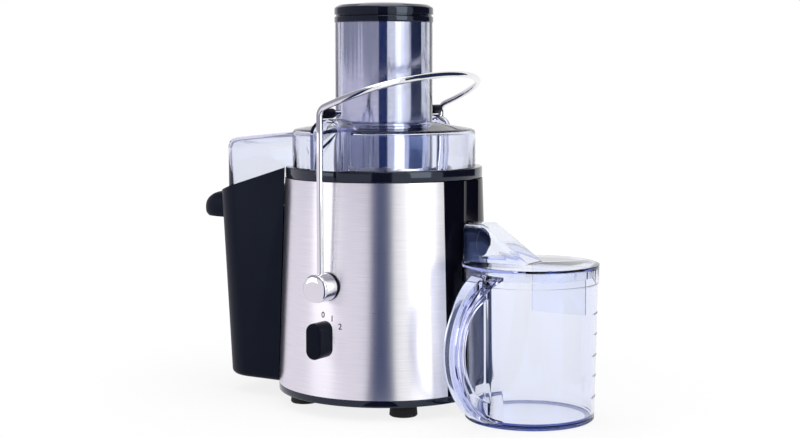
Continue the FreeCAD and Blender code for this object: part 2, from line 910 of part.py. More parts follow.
def build_bowl():
    """The juice bowl with its spout and apron, the black top ring and the shaft seal."""
    bowl = turned(
        [
            ("hub_r - bowl_wall", "bowl_under"),
            ("bowl_r", "bowl_under"),
            ("bowl_r", "ring_shelf"),
            ("bowl_bore_r", "ring_shelf"),
            ("bowl_bore_r", "bowl_floor"),
            ("hub_r", "bowl_floor"),
            ("hub_r", "hub_top"),
            ("hub_r - bowl_wall", "hub_top"),
        ]
    )
    axis = ("0", "0", "spout_height")
    port = cut(rod("spout_r + snug", "spout_reach", axis, ALONG_X), [upright_rod("bowl_bore_r - snug")])
    node("juice_bowl", cut(bowl, [port]))
    build_spout(axis)
    node(
        "top_ring",
        turned(
            [
                ("ring_lip_r", "ring_shelf"),
                ("top_bore_r + wall / 3", "ring_shelf"),
                ("top_bore_r + wall / 3", "steel_top"),
                ("ring_r", "steel_top"),
                ("ring_r", "ring_top"),
                ("ring_lip_r", "ring_top"),
            ]
        ),
    )
    node(
        "shaft_seal",
        turned(
            [
                ("shaft_r + shaft_play", "deck_low"),
                ("deck_hole_r - snug", "deck_low"),
                ("deck_hole_r - snug", "deck_top"),
                ("shaft_r + shaft_play", "deck_top"),
            ]
        ),
    )


def upright_rod(radius):
    """A rod on the drive axis, as tall as the housing."""
    return rod(radius, "steel_top")


def build_spout(axis):
    """The juice spout: a tube through the bowl's wall, and the apron that fills the housing's slot."""
    apron = cut(
        block(
            ("jug_x", "2 * spout_r", "steel_top - spout_height - free_gap"),
            ("0", "0 - spout_r", "spout_height"),
        ),
        [jug_recess("recess_r"), upright_rod("bowl_r + snug")],
    )
    tube = cut(rod("spout_r", "spout_reach", axis, ALONG_X), [upright_rod("bowl_bore_r")])
    bore = rod("spout_bore_r", "jug_x", axis, ALONG_X)
    node("juice_spout", cut(join([apron, tube]), [bore]))


# Lid, chute collar and pusher


def hood_plan(half, end, round_r, low, high):
    """The pulp hood's plan, rounded at its outer end, as an upright prism."""
    start = -dim("chute_r")
    box = Part.makeBox(end + start, 2 * half, high - low, Vector(-end, -half, low))
    return box.makeFillet(round_r, upright_at(box, -end, high - low))


def upright_at(solid, x, tall):
    """The upright edges of a solid at one place along X."""
    return [edge for edge in solid.Edges if near(edge.CenterOfMass.x, x) and near(edge.Length, tall)]


def hood_side(end, top_in, top_out, low_in, low_out):
    """The pulp hood's side view, as a prism across the machine."""
    wide = dim("hood_half") * 4
    start = -dim("chute_r")
    corners = [
        Vector(start, -wide / 2, top_in),
        Vector(-end, -wide / 2, top_out),
        Vector(-end, -wide / 2, low_out),
        Vector(start, -wide / 2, low_in),
    ]
    return Part.Face(Part.makePolygon(corners + corners[:1])).extrude(Vector(0, wide, 0))


def rim_height(x):
    """The bin's slanting rim at a place along X."""
    near_x, far_x = -dim("top_r"), -dim("bin_end")
    share = (x - near_x) / (far_x - near_x)
    return dim("bin_rim_in") + share * (dim("bin_rim_out") - dim("bin_rim_in"))


def lug(side):
    """A lid lug with its round hump, on the front (-1) or the back (1)."""
    half, low = dim("lug_half"), dim("ring_top")
    shoulder = dim("hump_top") - dim("lug_shoulder")
    inner, outer = sorted((side * number("lid_r - lid_wall"), side * dim("lug_reach")))
    left, right = Vector(-half, inner, shoulder), Vector(half, inner, shoulder)
    crest = Part.Arc(left, Vector(0, inner, dim("hump_top")), right).toShape()
    foot = Part.makePolygon([right, Vector(half, inner, low), Vector(-half, inner, low), left])
    return Part.Face(Part.Wire([crest] + foot.Edges)).extrude(Vector(0, outer - inner, 0))


def build_lid():
    """The clear lid: its cover with the two lugs, the pulp hood and the feed chute."""
    low, top, crown = dim("ring_top"), dim("lid_top"), dim("chute_root")
    wall, lid_r, chute_r = dim("lid_wall"), dim("lid_r"), dim("chute_r")

    def cover(inset, drop, base, soft):
        edge_r, shoulder, peak = lid_r - inset, top - drop, crown - drop
        corners = [(0, base), (edge_r, base), (edge_r, shoulder), (chute_r, peak), (0, peak)]
        points = [Vector(radius, 0, height) for radius, height in corners]
        solid = Part.Face(Part.makePolygon(points + points[:1])).revolve(Vector(), AXIS_Z, 360)
        rims = [edge for edge in solid.Edges if edge.Closed and near(edge.CenterOfMass.z, shoulder)]
        return solid.makeFillet(soft, rims)

    end, half = dim("hood_end"), dim("hood_half")
    start = -chute_r
    dip = dim("hood_dip")

    def hood(inset, sink):
        top_in, top_out = dim("hood_top_in") - inset, dim("hood_top_out") - inset
        peak = max(crown, top_in, top_out)
        plan = hood_plan(half - inset, end - inset, dim("hood_round") - inset, 0, peak)
        low_in, low_out = rim_height(start) - dip - sink, rim_height(-end) - dip - sink
        return plan.common(hood_side(end, top_in, top_out, low_in, low_out))

    def drum(radius, base, rise):
        return Part.makeCylinder(radius, rise, Vector(0, 0, base), AXIS_Z)

    snug = dim("snug")
    way = hood(wall, dim("lid_rise"))
    hollow = cover(wall, wall, low - wall, dim("lid_round") - wall)
    shell = cover(0, 0, low, dim("lid_round")).fuse([lug(-1), lug(1)]).cut(hollow)
    node("lid", fixed(shell.cut(way).cut(drum(chute_r + snug, low, crown)).removeSplitter()))
    clear_r = max(dim("ring_r"), dim("top_r")) + 2 * dim("free_gap")
    roof = hood(0, 0).cut(drum(clear_r, 0, low)).cut(drum(lid_r + snug, low, crown)).cut(way)
    node("pulp_hood", fixed(roof.removeSplitter()))
    foot = dim("chute_foot")
    rise = dim("chute_top_z") - foot
    node("feed_chute", fixed(drum(chute_r, foot, rise).cut(drum(dim("chute_bore_r"), foot, rise))))
    node(
        "chute_collar",
        turned(
            [
                ("chute_bore_r", "chute_top_z"),
                ("collar_r", "chute_top_z"),
                ("collar_r", "collar_top"),
                ("chute_bore_r", "collar_top"),
            ]
        ),
    )


def build_pusher():
    """The pusher: domed cap, steel sleeve and foot plate."""
    cap = turned(
        [
            ("0", "collar_top"),
            ("collar_r", "collar_top"),
            ("collar_r", "cap_top"),
            ("collar_r - cap_rise", "cap_top + cap_dome / 2"),
            ("collar_r - 2 * cap_rise", "cap_top + cap_dome * 3 / 4"),
            ("collar_r / 4", "dome_top"),
            ("0", "dome_top"),
        ]
    )
    node("pusher_cap", cap)
    node(
        "pusher_sleeve",
        turned(
            [
                ("sleeve_r - sleeve_wall", "sleeve_foot + wall"),
                ("sleeve_r", "sleeve_foot + wall"),
                ("sleeve_r", "collar_top"),
                ("sleeve_r - sleeve_wall", "collar_top"),
            ]
        ),
    )
    node(
        "pusher_foot",
        turned(
            [
                ("0", "sleeve_foot"),
                ("sleeve_r", "sleeve_foot"),
                ("sleeve_r", "sleeve_foot + wall"),
                ("0", "sleeve_foot + wall"),
            ]
        ),
    )


# Bail, pivots and rollers


def bail_path():
    """The rod's middle line: up the front leg, round the chute and down the back leg."""
    slope = math.radians(dim("arm_slope"))
    leg_y, bend_z, bend_r = dim("leg_y"), dim("bend_z"), dim("bend_r")
    rise = Vector(math.cos(slope), 0, math.sin(slope))
    turn = math.pi / 2 - slope
    setback = bend_r * math.tan(turn / 2)
    dip = bend_r * (1 / math.cos(turn / 2) - 1)
    inward = rise - AXIS_Z
    inward.normalize()
    sweep, corner_r = math.radians(dim("corner_sweep")), dim("corner_r")
    tip_y = leg_y - corner_r + corner_r * math.cos(sweep)
    tip_r = tip_y / math.cos(sweep)
    bulge = tip_r * (1 - math.sin(sweep))
    far = dim("apex_x") / math.cos(slope)
    begin = far - bulge - corner_r * math.sin(sweep)

    def arm(along, y):
        return Vector(0, y, bend_z) + rise * along

    def side(sign):
        y = sign * leg_y
        corner = Vector(0, y, bend_z)
        foot = Vector(0, y, dim("pivot_z") + number("pin_r + free_gap"))
        knee = corner - AXIS_Z * setback
        elbow = corner + rise * setback
        half = sweep / 2
        bowed = leg_y - corner_r + corner_r * math.cos(half)
        middle = arm(begin + corner_r * math.sin(half), sign * bowed)
        last = arm(far - bulge, sign * tip_y)
        return [
            Part.makeLine(foot, knee),
            Part.Arc(knee, corner + inward * dip, elbow).toShape(),
            Part.makeLine(elbow, arm(begin, y)),
            Part.Arc(arm(begin, y), middle, last).toShape(),
        ]

    front, back = side(-1), side(1)
    tip = Part.Arc(arm(far - bulge, -tip_y), arm(far, 0), arm(far - bulge, tip_y)).toShape()
    return Part.Wire(front + [tip] + back[::-1])


def pivot_face():
    """How far from the axis the housing's skin is at the pivots."""
    return housing_r(dim("pivot_z"))


def both_sides(maker):
    """The same thing at the front and at the back."""
    return [maker(-1), maker(1)]


def along_y(radius, start, stop, height, side):
    """A rod along Y between two distances from the axis, at the front (-1) or the back (1)."""
    low = side * start if side > 0 else side * stop
    return rod(radius, f"{stop - start}", ("0", f"{low}", height), ALONG_Y)


def build_bail():
    """The chrome bail with its caps, pins, rollers, washers and interlock cam."""
    path = bail_path()
    start = path.OrderedVertexes[0].Point
    ring = Part.Wire([Part.makeCircle(dim("rod_r"), start, AXIS_Z)])
    node("bail", fixed(path.makePipeShell([ring], True, False)))
    face = pivot_face()
    washer_in = housing_r(number("pivot_z - washer_r")) + dim("snug")
    washer_out = washer_in + dim("washer_gauge")
    cap_in = washer_out + dim("free_gap")
    cap_out = cap_in + dim("cap_long")
    pin_in, pin_out = face - dim("pin_depth"), cap_in + number("cap_long / 2")

    def cap(side):
        drum = along_y("cap_r", cap_in, cap_out, "pivot_z", side)
        edge_y = side * cap_out
        soft = rounded(drum, "wall / 2", lambda edge, at: near(at.y, edge_y) and edge.Closed)
        leg = rod("rod_r + snug", "cap_r + wall", ("0", f"{side * dim('leg_y')}", "pivot_z + pin_r"))
        play = dim("free_gap")
        bore = along_y("pin_r + snug", cap_in - play, pin_out + play, "pivot_z", side)
        return cut(soft, [leg, bore])

    node("pivot_caps", join(both_sides(cap)))
    node("pivot_pins", join(both_sides(lambda side: along_y("pin_r", pin_in, pin_out, "pivot_z", side))))

    def bush(side):
        sleeve = along_y("bush_r", face - 2 * dim("wall"), washer_out, "pivot_z", side)
        washer = along_y("washer_r", washer_in, washer_out, "pivot_z", side)
        bore = along_y("pin_r + shaft_play", pin_in, pin_out, "pivot_z", side)
        return cut(join([sleeve, washer]), [bore])

    node("pivot_bushes", join(both_sides(bush)))
    roller_out = dim("leg_y") - dim("rod_r") - 2 * dim("free_gap")
    roller_in = roller_out - dim("roller_long")
    tip = roller_in - dim("roller_pin_tip")
    reach = dim("leg_y")
    thicker = bail_path()
    socket = Part.Wire([Part.makeCircle(number("rod_r + snug"), start, AXIS_Z)])
    pins = both_sides(lambda side: along_y("roller_pin_r", tip, reach, "roller_z", side))
    node("roller_pins", cut(join(pins), [fixed(thicker.makePipeShell([socket], True, False))]))
    for label, side in (("roller_front", -1), ("roller_back", 1)):
        drum = along_y("roller_r", roller_in, roller_out, "roller_z", side)
        bore = along_y("roller_pin_r + shaft_play", tip, reach, "roller_z", side)
        node(label, cut(drum, [bore]))
    cam_in = pin_in - dim("cam_gauge")
    cam = along_y("cam_r", cam_in, pin_in, "pivot_z", -1)
    flat = block(
        ("2 * cam_r", "2 * cam_r", "cam_r"),
        ("0 - cam_r", f"{-pin_in} - cam_r / 2", "pivot_z - 2 * cam_r + wall / 2"),
    )
    node("interlock_cam", cut(cam, [flat]))
    build_interlock(cam_in, pin_in)


def build_interlock(cam_in, cam_out):
    """The interlock switch under the cam, on an arm from the housing's wall."""
    top = number("pivot_z - cam_r - free_gap")
    case = block(
        ("interlock_wide", f"interlock_deep + {cam_out - cam_in}", "interlock_rise"),
        ("0 - interlock_wide / 2", f"{-cam_out}", f"{top} - interlock_rise"),
    )
    wall_y = reach_in_room(top, number("interlock_wide / 4"))
    arm = block(
        ("interlock_wide / 2", f"{wall_y - cam_out} + wall", "wall"),
        ("0 - interlock_wide / 4", f"{-wall_y}", f"{top} - interlock_rise"),
    )
    node("interlock_switch", join([case, arm]))


# Knob and its switch


def arch(half, face_y, height, way):
    """Half a circle in the upright plane at face_y, bulging up (1) or down (-1)."""
    left, right = Vector(-half, face_y, height), Vector(half, face_y, height)
    return Part.Arc(left, Vector(0, face_y, height + way * half), right).toShape()


def stadium(wide, tall, deep, face_y):
    """An upright stadium plate whose back is at face_y and which runs to -Y."""
    half, straight = wide / 2, (tall - wide) / 2
    centre = dim("knob_z")
    top, low = centre + straight, centre - straight
    edges = [
        Part.makeLine(Vector(-half, face_y, low), Vector(-half, face_y, top)),
        arch(half, face_y, top, 1),
        Part.makeLine(Vector(half, face_y, top), Vector(half, face_y, low)),
        arch(half, face_y, low, -1),
    ]
    return Part.Face(Part.Wire(edges)).extrude(Vector(0, -deep, 0))


def build_knob():
    """The knob, its shaft and the rotary switch behind the wall."""
    face = housing_r(dim("knob_z"))
    back = -(face + dim("knob_gap"))
    grip = fixed(stadium(dim("knob_wide"), dim("knob_tall"), dim("knob_deep"), back))
    front = back - dim("knob_deep")
    soft = rounded(grip, "knob_round", lambda edge, at: near(at.y, front))
    inside = reach_in_room(number("knob_z + switch_side / 2"), number("switch_side / 2"))
    shaft_in = inside - number("switch_deep / 2")
    shaft_out = -back + number("knob_deep / 2")
    play = dim("free_gap")
    socket = along_y("knob_shaft_r + snug", shaft_in, shaft_out + play, "knob_z", -1)
    node("knob", cut(soft, [socket]))
    node("knob_shaft", along_y("knob_shaft_r", shaft_in, shaft_out, "knob_z", -1))
    body = block(
        ("switch_side", "switch_deep", "switch_side"),
        ("0 - switch_side / 2", f"{-inside}", "knob_z - switch_side / 2"),
    )
    bore = along_y("knob_shaft_r + shaft_play", shaft_in - play, inside + dim("wall"), "knob_z", -1)
    node("rotary_switch", cut(body, [bore]))


# Pulp bin


def bin_plan(half, end, round_r, height):
    """The bin's plan at a height: straight sides and a rounded outer end."""
    inner = -dim("top_r") / 2
    turn = round_r * (1 - math.sqrt(0.5))
    corners = {}
    for side in (-1, 1):
        corners[side] = (
            Vector(inner, side * half, height),
            Vector(-end + round_r, side * half, height),
            Vector(-end + turn, side * (half - turn), height),
            Vector(-end, side * (half - round_r), height),
        )
    low, high = corners[-1], corners[1]
    edges = [
        Part.makeLine(low[0], low[1]),
        Part.Arc(low[1], low[2], low[3]).toShape(),
        Part.makeLine(low[3], high[3]),
        Part.Arc(high[3], high[2], high[1]).toShape(),
        Part.makeLine(high[1], high[0]),
        Part.makeLine(high[0], low[0]),
    ]
    return Part.Wire(edges)


def build_bin():
    """The pulp bin, hugging the housing, with its slanting rim and finger lip."""
    half, end, draft = dim("bin_half"), dim("bin_end"), dim("bin_draft")
    wall, soft = dim("bin_wall"), dim("bin_round")
    low, high = dim("bin_lift"), number("bin_rim_in + bin_half / 2")

    def tub(inset, floor):
        base = bin_plan(half - draft - inset, end - draft - inset, soft - inset, floor)
        mouth = bin_plan(half - inset, end - inset, soft - inset, high)
        return Part.makeLoft([base, mouth], True, True)


    def hollow(gap):
        return Part.makeCone(housing_r(0) + gap, housing_r(2 * high) + gap, 2 * high, Vector(), AXIS_Z)

    nest = hollow(dim("bin_gap"))
    liner = hollow(dim("bin_gap") + wall)
    outside = tub(0, low)
    foot = []
    for edge in outside.Edges:
        middle = edge.CenterOfMass
        if near(middle.z, low) and middle.x < number("wall - top_r / 2") - 2 * dim("wall"):
            foot.append(edge)
    outside = outside.makeFillet(2 * wall, foot)
    shell = outside.cut(nest).cut(tub(wall, low + wall).cut(liner))
    far, reach = -2 * end, 2 * end
    slope = [Vector(x, -2 * half, rim_height(x)) for x in (0.0, far)]
    roof = [Vector(far, -2 * half, 2 * high), Vector(0, -2 * half, 2 * high)]
    above = Part.Face(Part.makePolygon(slope + roof + slope[:1])).extrude(Vector(0, 4 * half, 0))
    shell = shell.cut(above)
    gate_r = number("base_r + bin_gap") + 2 * wall
    gate = Part.makeCylinder(gate_r, high, Vector(0, 0, dim("bin_back_z")), AXIS_Z)
    gap = dim("hood_half") + dim("bin_wall")
    gate = gate.common(Part.makeBox(reach, 2 * gap, 2 * high, Vector(-reach, -gap, 0)))
    shell = shell.cut(gate)
    lip_low, lip_high = dim("lip_low"), dim("lip_high")
    wide, out = dim("lip_half"), dim("lip_reach")

    def ledge(inset, bottom, top):
        front, tall = -end - out + inset, top - bottom
        corner = Vector(front, inset - wide, bottom)
        plan = Part.makeBox(out + 2 * wide / 3 - inset, 2 * (wide - inset), tall, corner)
        return plan.makeFillet(dim("lip_nose") - inset, upright_at(plan, front, tall))

    solid = ledge(0, lip_low, lip_high)
    brow = []
    for edge in solid.Edges:
        if near(edge.CenterOfMass.z, lip_high) and edge.CenterOfMass.x < -end - wall / 2:
            brow.append(edge)
    solid = solid.makeFillet(dim("lip_brow"), brow)
    inner = dim("lip_wall")
    solid = solid.cut(ledge(inner, lip_low - inner, lip_high - 2.5 * inner))
    solid = solid.cut(tub(wall / 2, low))
    node("pulp_bin", fixed(shell.fuse(solid).removeSplitter()))


# Jug, its lid and froth plate


def jug_r(height):
    """The jug's outer radius at a height, without the band at its top."""
    share = height / dim("jug_step_z")
    return dim("jug_base_r") + share * (dim("jug_rim_r") - dim("jug_step") - dim("jug_base_r"))


def build_jug():
    """The clear jug and its handle."""
    jug = turned(
        [
            ("0", "jug_wall"),
            ("jug_base_r - 4 * jug_wall", "jug_wall"),
            ("jug_base_r - 3 * jug_wall", "0"),
            ("jug_base_r - jug_wall / 2", "0"),
            ("jug_base_r", "jug_wall / 2"),
            ("jug_rim_r - jug_step", "jug_step_z"),
            ("jug_rim_r", "jug_step_z + jug_step"),
            ("jug_rim_r", "jug_top_z"),
            ("jug_rim_r - jug_wall", "jug_top_z"),
            ("jug_rim_r - jug_wall - jug_step", "jug_step_z"),
            ("jug_base_r - jug_wall", "jug_floor + jug_wall"),
            ("jug_base_r - 2 * jug_wall", "jug_floor"),
            ("0", "jug_floor"),
        ]
    )
    set_place(jug, ("jug_x", "0", "0"))
    node("jug", jug)
    top = number("jug_top_z - jug_step")
    low = dim("jug_wall")
    out = dim("jug_rim_r") + dim("handle_bow")

    def bow(inset):
        root = number("2 * jug_wall - jug_base_r")
        foot, head = Vector(0, root, low + inset), Vector(0, root, top - inset)
        crown = Vector(0, -out + inset, (low + top) / 2)
        return Part.Face(Part.Wire([Part.Arc(foot, crown, head).toShape(), Part.makeLine(head, foot)]))

    wide, web = dim("handle_wide"), dim("handle_web")
    band = bow(0).cut(bow(dim("handle_band"))).extrude(Vector(wide, 0, 0))
    band.translate(Vector(-wide / 2, 0, 0))
    rib = bow(dim("handle_band") / 2).cut(bow(dim("handle_deep"))).extrude(Vector(web, 0, 0))
    rib.translate(Vector(-web / 2, 0, 0))
    step = dim("jug_step_z")
    gap = dim("snug")
    cone = Part.makeCone(dim("jug_base_r") + gap, jug_r(step) + gap, step, Vector(), AXIS_Z)
    collar = Part.makeCylinder(dim("jug_rim_r") + gap, top, Vector(0, 0, step), AXIS_Z)
    handle = band.fuse(rib).cut(cone).cut(collar)
    thing = fixed(handle.removeSplitter())
    thing.Placement = Placement(Vector(), Rotation(AXIS_Z, -dim("handle_turn")))
    set_place(thing, ("jug_x", "0", "0"))
    node("jug_handle", thing)


def build_jug_lid():
    """The jug's lid with the raised hood over the spout, and the froth plate."""
    top, gauge = dim("jug_top_z"), dim("jug_lid_gauge")
    jug_x, rim = dim("jug_x"), dim("jug_rim_r")
    half, wall = dim("cover_half"), dim("cover_wall")
    centre = Vector(jug_x, 0, top)
    disc = Part.makeCylinder(rim, gauge, centre, AXIS_Z)
    skirt_out = rim - dim("jug_wall") - dim("jug_step") - dim("free_gap")
    skirt_low = Vector(jug_x, 0, top - dim("jug_skirt_rise"))
    skirt = Part.makeCylinder(skirt_out, dim("jug_skirt_rise"), skirt_low, AXIS_Z)
    skirt = skirt.cut(Part.makeCylinder(skirt_out - wall, dim("jug_skirt_rise"), skirt_low, AXIS_Z))
    begin = jug_x - rim + dim("free_gap")
    brow, end, peak = dim("cover_brow_x"), dim("cover_end_x"), dim("cover_top_z")

    def hood(inset):
        front = begin - inset
        corners = [
            Vector(front, inset - half, top),
            Vector(front, inset - half, peak - inset),
            Vector(brow, inset - half, peak - inset),
            Vector(end - inset, inset - half, top + gauge),
            Vector(end - inset, inset - half, top),
        ]
        prism = Part.Face(Part.makePolygon(corners + corners[:1]))
        solid = prism.extrude(Vector(0, 2 * (half - inset), 0))
        edges = []
        for edge in solid.Edges:
            middle = edge.CenterOfMass
            outer = near(abs(middle.y), half - inset) and middle.z > top + 2 * gauge
            if outer and middle.x > front + wall / 2:
                edges.append(edge)
        return solid.makeFillet(dim("cover_round") - inset, edges)

    mouth = Vector(begin - wall, wall - half, number("jug_top_z - 2 * jug_skirt_rise"))
    slot_long = number("spout_reach + spout_r") - begin
    slot = Part.makeBox(slot_long, 2 * (half - wall), number("2 * jug_skirt_rise + jug_lid_gauge"), mouth)
    whole = disc.fuse([skirt, hood(0)]).cut(hood(wall)).cut(slot)
    reach = Part.makeCylinder(rim, peak, Vector(jug_x, 0, 0), AXIS_Z)
    node("jug_lid", fixed(whole.common(reach).removeSplitter()))
    plate = block(
        ("froth_long", "froth_gauge", "froth_drop"),
        ("froth_x", "0 - froth_gauge / 2", "jug_top_z - froth_drop"),
    )
    node("froth_plate", plate)


build_housing()
build_wraps()
build_base()
build_motor()
build_rotor()
build_basket()
build_bowl()
build_lid()
build_pusher()
build_bail()
build_knob()
build_bin()
build_jug()
build_jug_lid()
doc.recompute()

# Test every object, then write one file per node

for thing in doc.Objects:
    if "Invalid" in thing.State or "Error" in thing.State:
        raise RuntimeError(f"{thing.Name} ({thing.Label}) is {thing.State}")
os.makedirs("parts", exist_ok=True)
for label, thing in parts.items():
    shape = thing.Shape.translated(Vector(-dim("middle_x"), 0, 0))
    if shape.isNull() or not shape.isValid() or not shape.Solids:
        raise RuntimeError(f"{label} has no valid solid")
    shape.exportStep(f"parts/{label}.step")
    box = shape.BoundBox
    size = f"{box.XLength:.1f} x {box.YLength:.1f} x {box.ZLength:.1f}"
    print(label, len(shape.Solids), round(shape.Volume), size)
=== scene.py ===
"""The looks of the centrifugal juicer: finishes, rounded pieces, studio and camera."""
import json
import logging
import math
from dataclasses import dataclass
from enum import Enum
from functools import lru_cache
from typing import Callable, Sequence

import bmesh
import bpy
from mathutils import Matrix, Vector


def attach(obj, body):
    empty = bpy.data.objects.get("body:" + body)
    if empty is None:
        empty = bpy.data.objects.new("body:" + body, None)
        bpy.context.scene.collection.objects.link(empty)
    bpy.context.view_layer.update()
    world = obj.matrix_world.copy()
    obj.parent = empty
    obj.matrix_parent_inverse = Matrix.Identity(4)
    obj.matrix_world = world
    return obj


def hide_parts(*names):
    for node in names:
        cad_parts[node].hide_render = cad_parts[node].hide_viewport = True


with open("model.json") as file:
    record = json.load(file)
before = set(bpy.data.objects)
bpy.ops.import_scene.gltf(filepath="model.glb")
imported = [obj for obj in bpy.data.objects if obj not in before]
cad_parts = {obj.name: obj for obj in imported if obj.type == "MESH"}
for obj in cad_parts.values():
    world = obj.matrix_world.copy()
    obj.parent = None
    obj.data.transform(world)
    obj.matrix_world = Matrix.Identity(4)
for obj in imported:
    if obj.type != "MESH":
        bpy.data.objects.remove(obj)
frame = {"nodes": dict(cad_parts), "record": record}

logging.basicConfig(level=logging.INFO, format="%(name)s: %(message)s")
log = logging.getLogger("juicer")

MM = 0.001
Point = tuple[float, float]
Colour = tuple[float, float, float]
Corner = tuple[float, float, float]
BLUISH = (0.68, 0.80, 1.0)
WELD = 0.002 * MM


def joint_place(name: str) -> Vector:
    """Where a joint's axis stands in the frame, in metres."""
    joints = frame["record"]["behaviour"]["joints"]
    return next(Vector(joint["pos_m"]) for joint in joints if joint["name"] == name)


DRIVE = joint_place("rotor_spin")
DRIVE.z = 0.0


# Shader trees


class Tree:
    """A short way to add and link the nodes of one shader tree."""

    def __init__(self, tree: bpy.types.NodeTree) -> None:
        """Keep the tree that nodes go into."""
        self.tree = tree

    def feed(self, socket: bpy.types.NodeSocket, value: object) -> None:
        """Set an input's value, or link an output to it.

        Args:
            socket: the input.
            value: a value or an output socket.
        """
        if isinstance(value, bpy.types.NodeSocket):
            self.tree.links.new(value, socket)
        else:
            socket.default_value = value

    def add(self, kind: str, **settings: object) -> bpy.types.Node:
        """Add a node.

        Args:
            kind: Blender's name of the node type.
            settings: properties to set on it.

        Returns:
            The new node.
        """
        node = self.tree.nodes.new(kind)
        for name, value in settings.items():
            setattr(node, name, value)
        return node

    def put(self, node: bpy.types.Node, **sockets: object) -> bpy.types.Node:
        """Set or link inputs of a node.

        Args:
            node: the node.
            sockets: values or output sockets by input name, with _ for a space.

        Returns:
            The same node.
        """
        for name, value in sockets.items():
            self.feed(node.inputs[name.replace("_", " ")], value)
        return node

    def sum(self, kind: str, first: object, second: object = 0.0) -> bpy.types.NodeSocket:
        """A math node.

        Args:
            kind: the operation, such as MULTIPLY.
            first: a number or a socket.
            second: a number or a socket.

        Returns:
            Its output socket.
        """
        node = self.add("ShaderNodeMath", operation=kind)
        for socket, value in zip(node.inputs, (first, second)):
            self.feed(socket, value)
        return node.outputs[0]

    def noise(
        self, vector: object, scale: object, detail: float = 2.0, flat: bool = False
    ) -> bpy.types.NodeSocket:
        """A noise texture's value.

        Args:
            vector: the place on the surface.
            scale: cells per unit.
            detail: octaves.
            flat: whether only the first two parts of the place count.

        Returns:
            Its value socket.
        """
        node = self.add("ShaderNodeTexNoise", noise_dimensions="2D" if flat else "3D")
        self.put(node, Vector=vector, Scale=scale, Detail=detail)
        return node.outputs[0]

    def between(self, share: object, low: object, high: object) -> bpy.types.NodeSocket:
        """A value run from low to high by a share from 0 to 1.

        Args:
            share: the share.
            low: the value at 0.
            high: the value at 1.

        Returns:
            The value's socket.
        """
        node = self.add("ShaderNodeMapRange", clamp=True)
        self.put(node, Value=share, To_Min=low, To_Max=high)
        return node.outputs["Result"]

    def blend(self, share: object, first: object, second: object) -> bpy.types.NodeSocket:
        """Two colours mixed.

        Args:
            share: how much of the second.
            first: a colour.
            second: a colour.

        Returns:
            The colour's socket.
        """
        node = self.add("ShaderNodeMix", data_type="RGBA")
        for index, value in ((0, share), (6, first), (7, second)):
            self.feed(node.inputs[index], value)
        return node.outputs[2]

    def mix(self, share: object, first: object, second: object) -> bpy.types.NodeSocket:
        """Two shaders mixed.

        Args:
            share: how much of the second.
            first: a shader.
            second: a shader.

        Returns:
            The mixed shader's socket.
        """
        node = self.add("ShaderNodeMixShader")
        for socket, value in zip(node.inputs, (share, first, second)):
            self.feed(socket, value)
        return node.outputs[0]

    def reach_out(self, shader: bpy.types.NodeSocket, way: str = "Surface") -> None:
        """Link a shader to the tree's output, as its Surface or its Volume."""
        out = next(node for node in self.tree.nodes if node.bl_idname.startswith("ShaderNodeOutput"))
        self.feed(out.inputs[way], shader)


def new_group(name: str, inputs: dict[str, float], outputs: Sequence[str]) -> tuple[Tree, dict, Callable]:
    """Start a shader node group.

    Args:
        name: the group's name.
        inputs: its number inputs with their usual values.
        outputs: its number outputs.

    Returns:
        The tree, its input sockets by name, and a function that links the outputs.
    """
    group = bpy.data.node_groups.new(name, "ShaderNodeTree")
    for label, value in inputs.items():
        socket = group.interface.new_socket(label, in_out="INPUT", socket_type="NodeSocketFloat")
        socket.default_value = value
    for label in outputs:
        group.interface.new_socket(label, in_out="OUTPUT", socket_type="NodeSocketFloat")
    tree = Tree(group)
    source, sink = tree.add("NodeGroupInput"), tree.add("NodeGroupOutput")

    def leave(**sockets: object) -> None:
        """Link the group's outputs to the sockets given by their names."""
        tree.put(sink, **sockets)

    return tree, {label: source.outputs[label] for label in inputs}, leave


@lru_cache(maxsize=None)
def moulded_grain() -> bpy.types.NodeTree:
    """A moulded skin: fine spark-eroded grain, and slow changes of gloss from handling.

    Returns:
        The node group.
    """
    smear_cells, fine_share = 22.0, 0.6
    tree, given, leave = new_group(
        "moulded_grain", {"Cells": 900.0, "Gloss": 0.4, "Spread": 0.1}, ("Height", "Roughness", "Tone")
    )
    spot = tree.add("ShaderNodeTexCoord").outputs["Object"]
    grain = tree.noise(spot, given["Cells"], detail=3.0)
    smears = tree.noise(spot, smear_cells, detail=4.0)
    offset = tree.sum("MULTIPLY", tree.sum("SUBTRACT", smears, 0.5), given["Spread"])
    fine_spread = tree.sum("MULTIPLY", given["Spread"], fine_share)
    fine = tree.sum("MULTIPLY", tree.sum("SUBTRACT", grain, 0.5), fine_spread)
    rough = tree.sum("ADD", tree.sum("ADD", given["Gloss"], offset), fine)
    leave(Height=grain, Roughness=rough, Tone=smears)
    return tree.tree


